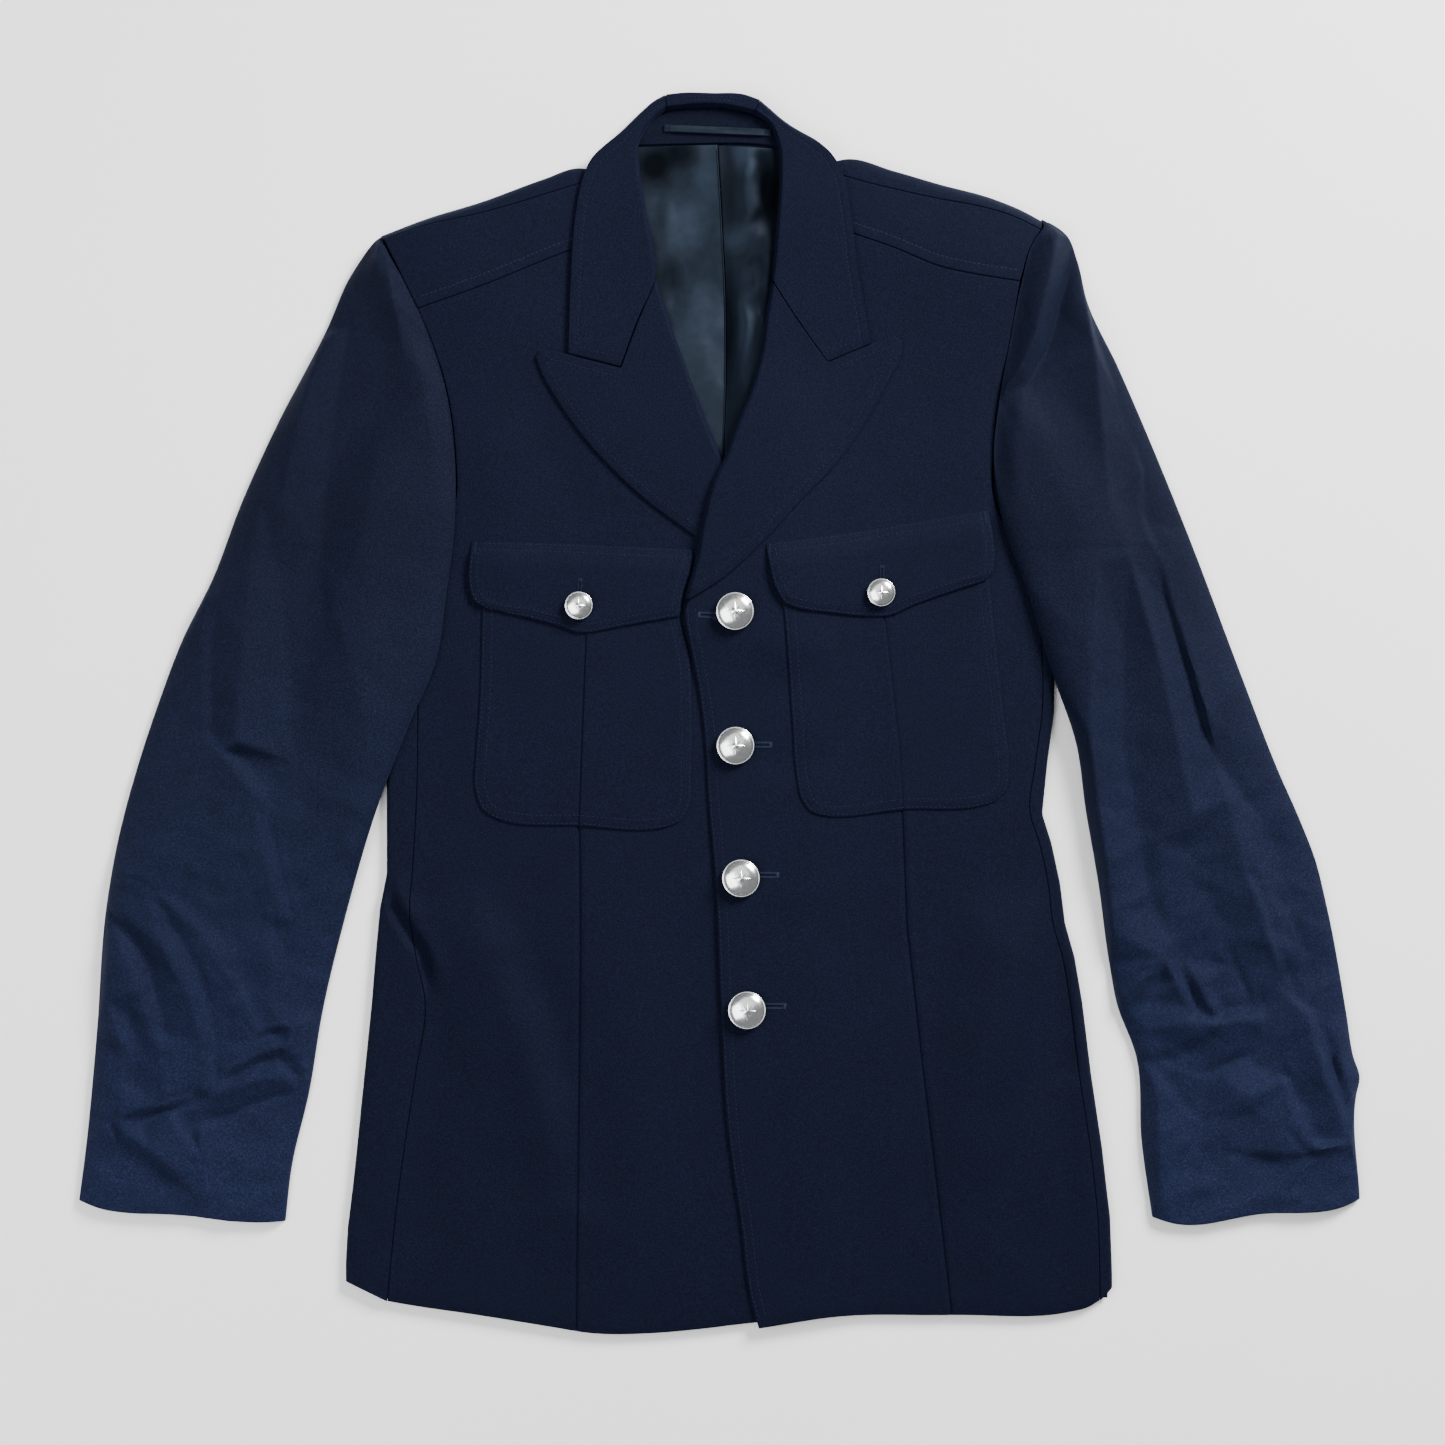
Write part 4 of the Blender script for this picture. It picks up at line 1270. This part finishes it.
def make_button(node, x, y, radius, tree):
    """A domed silver button: a rolled rim, a fine groove inside it, and a plain low star on the dome."""
    seat = top_of(tree, x, y) + 0.15
    rim = SHANK_LENGTH + radius * 0.14
    profile = [(0.0, 0.0)] + [(radius * share, rise) for share, rise in
                              ((SHANK_SHARE, 0.0), (SHANK_SHARE, SHANK_LENGTH), (0.88, SHANK_LENGTH))]
    for a in np.radians(np.arange(-80, 111, 19)):
        profile.append((radius * (0.955 + 0.045 * math.cos(a)), rim + radius * 0.06 * math.sin(a)))

    def dome(r):
        return rim + DOME_SHARE * radius * math.sqrt(max(0.0, 1.0 - (r / (radius * 0.97)) ** 2)) * 0.98

    for share in DOME_RINGS:
        dip = GROOVE_DEPTH if share == GROOVE_SHARE else 0.0
        profile.append((radius * share, dome(radius * share) - dip))
    profile.append((0.0, dome(0.0)))
    points, faces = lathe(profile, 72)
    first, corners = len(points), 2 * STAR_POINTS
    points.append((0.0, 0.0, dome(0.0) + radius * STAR_PEAK))
    for sunk in (0.0, 0.06):
        for k in range(corners):
            a = math.pi * k / STAR_POINTS + math.pi / 2
            share, lift = ((0.50, 0.004), (0.16, 0.022), (0.38, 0.004), (0.16, 0.022))[k % 4]
            r = radius * share
            points.append((r * math.cos(a), r * math.sin(a), dome(r) + radius * (lift - sunk)))
    for k in range(corners):
        a, b = first + 1 + k, first + 1 + (k + 1) % corners
        faces += [(first, a, b), (a, a + corners, b + corners, b)]
    faces.append(tuple(first + 2 * corners - k for k in range(corners)))
    placed = np.array(points) + (x, y, seat)
    shown(mesh_piece(node + "_metal", placed, faces, SILVER_METAL, 34), node)


def make_finer_details():
    """The sewn ends of the hanger loop, the lining's centre seam and the stitches of the collar stand."""
    below = tree_of(["hanger_loop", "neck_facing", "lining_left", "lining_right"])
    loop = Thread("stitches_hanger_loop", below, THREAD_DARK, width=0.34)
    for (x, y), inward in zip(LOOP_ENDS, (1, -1)):
        for step in (1.0, 3.6):
            loop.bar((x + inward * step, y), (0.05, 1), 4.6, 1.3, 9)
        loop.bar((x + inward * 2.3, y), (1, 0.9), 4.2, 0.7, 5)
    loop.make("satin")
    lining = tree_of(["lining_left", "lining_right"])
    welt("lining_centre_seam", lining, inset_curve(LINING_CENTRE, -0.9), 0.35, 0.3, SATIN)
    foot, top = part_of(STAND_FOOT, 0.18, 0.82), part_of(STAND_TOP, 0.18, 0.82)
    rows = [foot + share * (top - foot) for share in (0.35, 0.6)]
    sew("collar_stand", ["collar_stand"], rows, THREAD_DARK).make()


class Look:
    """A procedural material, built up from nodes in the object's own space."""

    def __init__(self, name, colour, roughness, metallic=0.0):
        self.material = bpy.data.materials.new(name)
        self.material.use_nodes = True
        self.nodes, self.links = self.material.node_tree.nodes, self.material.node_tree.links
        self.place = self.nodes.new("ShaderNodeTexCoord").outputs["Object"]
        self.finish({"Base Color": (*colour, 1.0), "Roughness": roughness, "Metallic": metallic})

    def join(self, node, inputs):
        """Links each input of a node to an output, or sets its value."""
        for socket, value in inputs.items():
            if isinstance(value, bpy.types.NodeSocket):
                self.links.new(value, node.inputs[socket])
            else:
                node.inputs[socket].default_value = value

    def add(self, kind, output, inputs, operation=None):
        """A new node's output."""
        node = self.nodes.new("ShaderNode" + kind)
        if operation:
            node.operation = operation
        self.join(node, inputs)
        return node.outputs[output]

    def finish(self, inputs):
        """Sets the material's shader."""
        self.join(self.nodes["Principled BSDF"], inputs)
        return self.material

    def turned(self, degrees, scale=(1.0, 1.0, 1.0)):
        """The place turned about the vertical axis, then scaled."""
        rotation = (0.0, 0.0, math.radians(degrees))
        return self.add("Mapping", "Vector", {"Vector": self.place, "Rotation": rotation, "Scale": scale})

    def noise(self, place, scale, detail, rough=0.55):
        inputs = {"Vector": place, "Scale": scale, "Detail": detail, "Roughness": rough}
        return self.add("TexNoise", "Fac", inputs)

    def ramp(self, factor, *stops):
        """A colour that follows the factor through stops of a position and a colour."""
        colour = self.add("ValToRGB", "Color", {"Fac": factor})
        elements = colour.node.color_ramp.elements
        elements[0].position, elements[0].color = stops[0]
        elements[1].position, elements[1].color = stops[-1]
        for position, between_ends in stops[1:-1]:
            elements.new(position).color = between_ends
        return colour

    def bumps(self, *rows):
        """A normal with one bump on another: each row is a height, a strength and a distance."""
        normal = None
        for height, strength, distance in rows:
            inputs = {"Height": height, "Strength": strength, "Distance": distance}
            if normal is not None:
                inputs["Normal"] = normal
            normal = self.add("Bump", "Normal", inputs)
        return normal


def shade(colour, amount):
    return tuple(channel * amount for channel in colour) + (1.0,)


def wool_look(name, colour, sheen, sheen_tint, worn=1.0):
    """Fulled wool: a short nap over a fine twill, with slight cloudiness and paler fibre tips."""
    look = Look(name, colour, 0.88)
    fibres = look.noise(look.turned(62, (1.0, 0.34, 1.0)), 1300.0, 3.0, 0.7)
    nap = look.noise(look.place, 930.0, 3.0, 0.75)
    clouds = look.noise(look.place, 34.0, 3.0)
    ribs = {"Vector": look.turned(-33), "Scale": 420.0, "Distortion": 2.2, "Detail": 2.0}
    twill = look.add("TexWave", "Fac", ribs)
    tones = ((0.35, 0.50), (0.50, 0.95), (0.65, 1.90))
    tips = look.ramp(nap, *((position, shade(colour, amount)) for position, amount in tones))
    cloudy = look.ramp(clouds, (0.3, (0.94, 0.94, 0.95, 1)), (0.7, (1.06, 1.06, 1.05, 1)))
    tint = look.add("VectorMath", "Vector", {0: tips, 1: cloudy}, "MULTIPLY")
    if worn != 1.0:
        up = look.add("SeparateXYZ", "Y", {"Vector": look.place})
        reach = {"Value": up, "From Min": 0.12, "From Max": -0.30, "To Min": 1.0, "To Max": worn}
        paler = look.add("MapRange", "Result", reach)
        tint = look.add("VectorMath", "Vector", {0: tint, "Scale": paler}, "SCALE")
    normal = look.bumps((twill, 0.40, 0.0002), (fibres, 0.45, 0.0003), (nap, 0.42, 0.0005),
                        (clouds, 0.12, 0.0020))
    rough = look.ramp(fibres, (0.2, shade(WHITE, 0.62)), (0.8, shade(WHITE, 0.84)))
    return look.finish({"Base Color": tint, "Normal": normal, "Roughness": rough, "Specular IOR Level": 0.10,
                        "Specular Tint": (0.60, 0.65, 0.90, 1.0), "Sheen Weight": sheen,
                        "Sheen Roughness": 0.55, "Sheen Tint": (*sheen_tint, 1.0)})


def spotted(look, tint, spots):
    """A colour made darker or lighter in soft oval patches: x, y, reach in x, reach in y, and the factor."""
    for x, y, wide, tall, factor in spots:
        near = look.add("Mapping", "Vector", {"Vector": look.place, "Scale": (1.0 / wide, 1.0 / tall, 0.0),
                                              "Location": (-x / wide, -y / tall, 0.0)})
        oval = look.add("TexGradient", "Fac", {"Vector": near})
        oval.node.gradient_type = "SPHERICAL"
        fade = look.ramp(oval, (0.0, shade(WHITE, 1.0)), (0.7, shade(WHITE, factor)))
        tint = look.add("VectorMath", "Vector", {0: tint, 1: fade}, "MULTIPLY")
    return tint


def satin_look(name, colour, spots):
    """Twilled satin lining: smooth, with fine ribs, a soft sheen and darker hollows."""
    look = Look(name, colour, 0.48)
    ribs = look.add("TexWave", "Fac", {"Vector": look.turned(28), "Scale": 700.0, "Distortion": 0.8})
    slubs = look.noise(look.place, 160.0, 3.0)
    tint = look.ramp(slubs, (0.3, shade(colour, 0.85)), (0.7, shade(colour, 1.18)))
    gloss = look.add("RGB", 0, {})
    gloss.default_value = (0.55, 0.72, 1.0, 1.0)
    return look.finish({"Base Color": spotted(look, tint, spots), "Specular IOR Level": 0.11,
                        "Normal": look.bumps((ribs, 0.12, 0.0001), (slubs, 0.2, 0.0004)),
                        "Specular Tint": spotted(look, gloss, spots), "Anisotropic": 0.5})


def metal_look(name):
    """Polished silver plate, with faint hairlines and dust in its hollows."""
    look = Look(name, (0.82, 0.83, 0.85), 0.14, 1.0)
    wear = look.noise(look.place, 420.0, 3.0)
    tint = look.ramp(wear, (0.25, (0.80, 0.82, 0.85, 1)), (0.6, (0.90, 0.91, 0.92, 1)))
    return look.finish({"Roughness": look.ramp(wear, (0.3, shade(WHITE, 0.16)), (0.72, shade(WHITE, 0.24))),
                        "Base Color": tint,
                        "Normal": look.bumps((look.noise(look.place, 2200.0, 2.0), 0.03, 0.0001))})


def thread_look(name, colour):
    look = Look(name, colour, 0.62)
    plies = look.noise(look.place, 2600.0, 2.0)
    return look.finish({"Base Color": look.ramp(plies, (0.3, shade(colour, 0.7)), (0.7, shade(colour, 1.35))),
                        "Normal": look.bumps((plies, 0.3, 0.0002)), "Specular IOR Level": 0.08})


def floor_look():
    look = Look("floor", (0.93, 0.93, 0.94), 0.9)
    grain = look.noise(look.place, 3.0, 2.0)
    tint = look.ramp(grain, (0.3, (0.92, 0.92, 0.93, 1)), (0.7, (0.95, 0.95, 0.955, 1)))
    return look.finish({"Base Color": tint})


def make_stage():
    """A white studio, its lights, a pale floor just below the jacket, and the camera."""
    scene = bpy.context.scene
    scene.world = bpy.data.worlds.new("studio")
    scene.world.use_nodes = True
    background = scene.world.node_tree.nodes["Background"].inputs
    background["Color"].default_value = (1.0, 1.0, 1.0, 1.0)
    background["Strength"].default_value = WORLD_LIGHT
    for name, place, size, power, colour in LIGHTS:
        light = bpy.data.lights.new(name, "AREA")
        light.shape, light.size, light.size_y = "RECTANGLE", *size
        light.energy, light.color = power, colour
        lamp = link(name, light)
        lamp.location = place
        lamp.rotation_euler = (-Vector(place)).to_track_quat("-Z", "Y").to_euler()
    mesh = bpy.data.meshes.new("floor")
    corners = ((-1, -1), (1, -1), (1, 1), (-1, 1))
    mesh.from_pydata([(x * FLOOR_REACH, y * FLOOR_REACH, FLOOR_DROP) for x, y in corners], [], [(0, 1, 2, 3)])
    mesh.materials.append(floor_look())
    link("floor", mesh)
    camera = bpy.data.cameras.new("camera")
    camera.lens, camera.sensor_width = LENS, SENSOR
    camera.clip_start, camera.clip_end = 0.1, 20.0
    scene.camera = link("camera", camera)
    x, y = VIEW_CENTRE
    scene.camera.location = (x * MM, y * MM, VIEW_WIDTH * MM * LENS / SENSOR + 0.008)


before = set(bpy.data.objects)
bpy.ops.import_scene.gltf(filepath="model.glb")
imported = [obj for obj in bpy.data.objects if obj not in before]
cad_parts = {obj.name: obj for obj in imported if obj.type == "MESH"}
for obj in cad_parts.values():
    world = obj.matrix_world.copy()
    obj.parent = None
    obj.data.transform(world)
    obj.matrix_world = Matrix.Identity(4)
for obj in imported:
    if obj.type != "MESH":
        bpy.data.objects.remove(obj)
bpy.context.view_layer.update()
WOOL = wool_look("wool", NAVY, 0.035, (0.30, 0.42, 0.80))
SLEEVE_WOOL = wool_look("sleeve_wool", NAVY_SLEEVE, 0.05, (0.32, 0.44, 0.82), 2.6)
SATIN = satin_look("satin", LINING_DARK, LINING_SPOTS["left"])
SATIN_LIT = satin_look("satin_lit", LINING_PALE, LINING_SPOTS["right"])
WOOL_INSIDE = wool_look("wool_inside", NAVY_INSIDE, 0.02, (0.30, 0.42, 0.80))
SILVER_METAL = metal_look("silver")
THREAD_DARK = thread_look("thread", THREAD_NAVY)
THREAD_PALE = thread_look("thread_worn", THREAD_WORN)
SURFACE = {}
SATIN_FOLDS = facets(SATIN_LINES, LINING_OUTER["right"] + LINING_OUTER["left"], 0.9, 9)

make_neck()
for side in ("right", "left"):
    make_back(side)
    make_side(side)
    make_front(side)
    make_yoke(side)
    make_lapel(side)
    make_collar(side)
    make_sleeve(side)
    make_armhole(side)
    make_hem_corner(side)
    make_pocket(side)
    make_stitching(side)
    flap = tree_of(["flap_" + side])
    make_button("button_pocket_" + side, *POCKET_BUTTONS[side], POCKET_BUTTON_RADIUS, flap)
make_front_edge()
body = tree_of(["front_left", "lapel_left"])
for number, (x, y) in enumerate(FRONT_BUTTONS, start=1):
    make_button("button_front_%d" % number, x, y, FRONT_BUTTON_RADIUS, body)
make_finer_details()
make_stage()
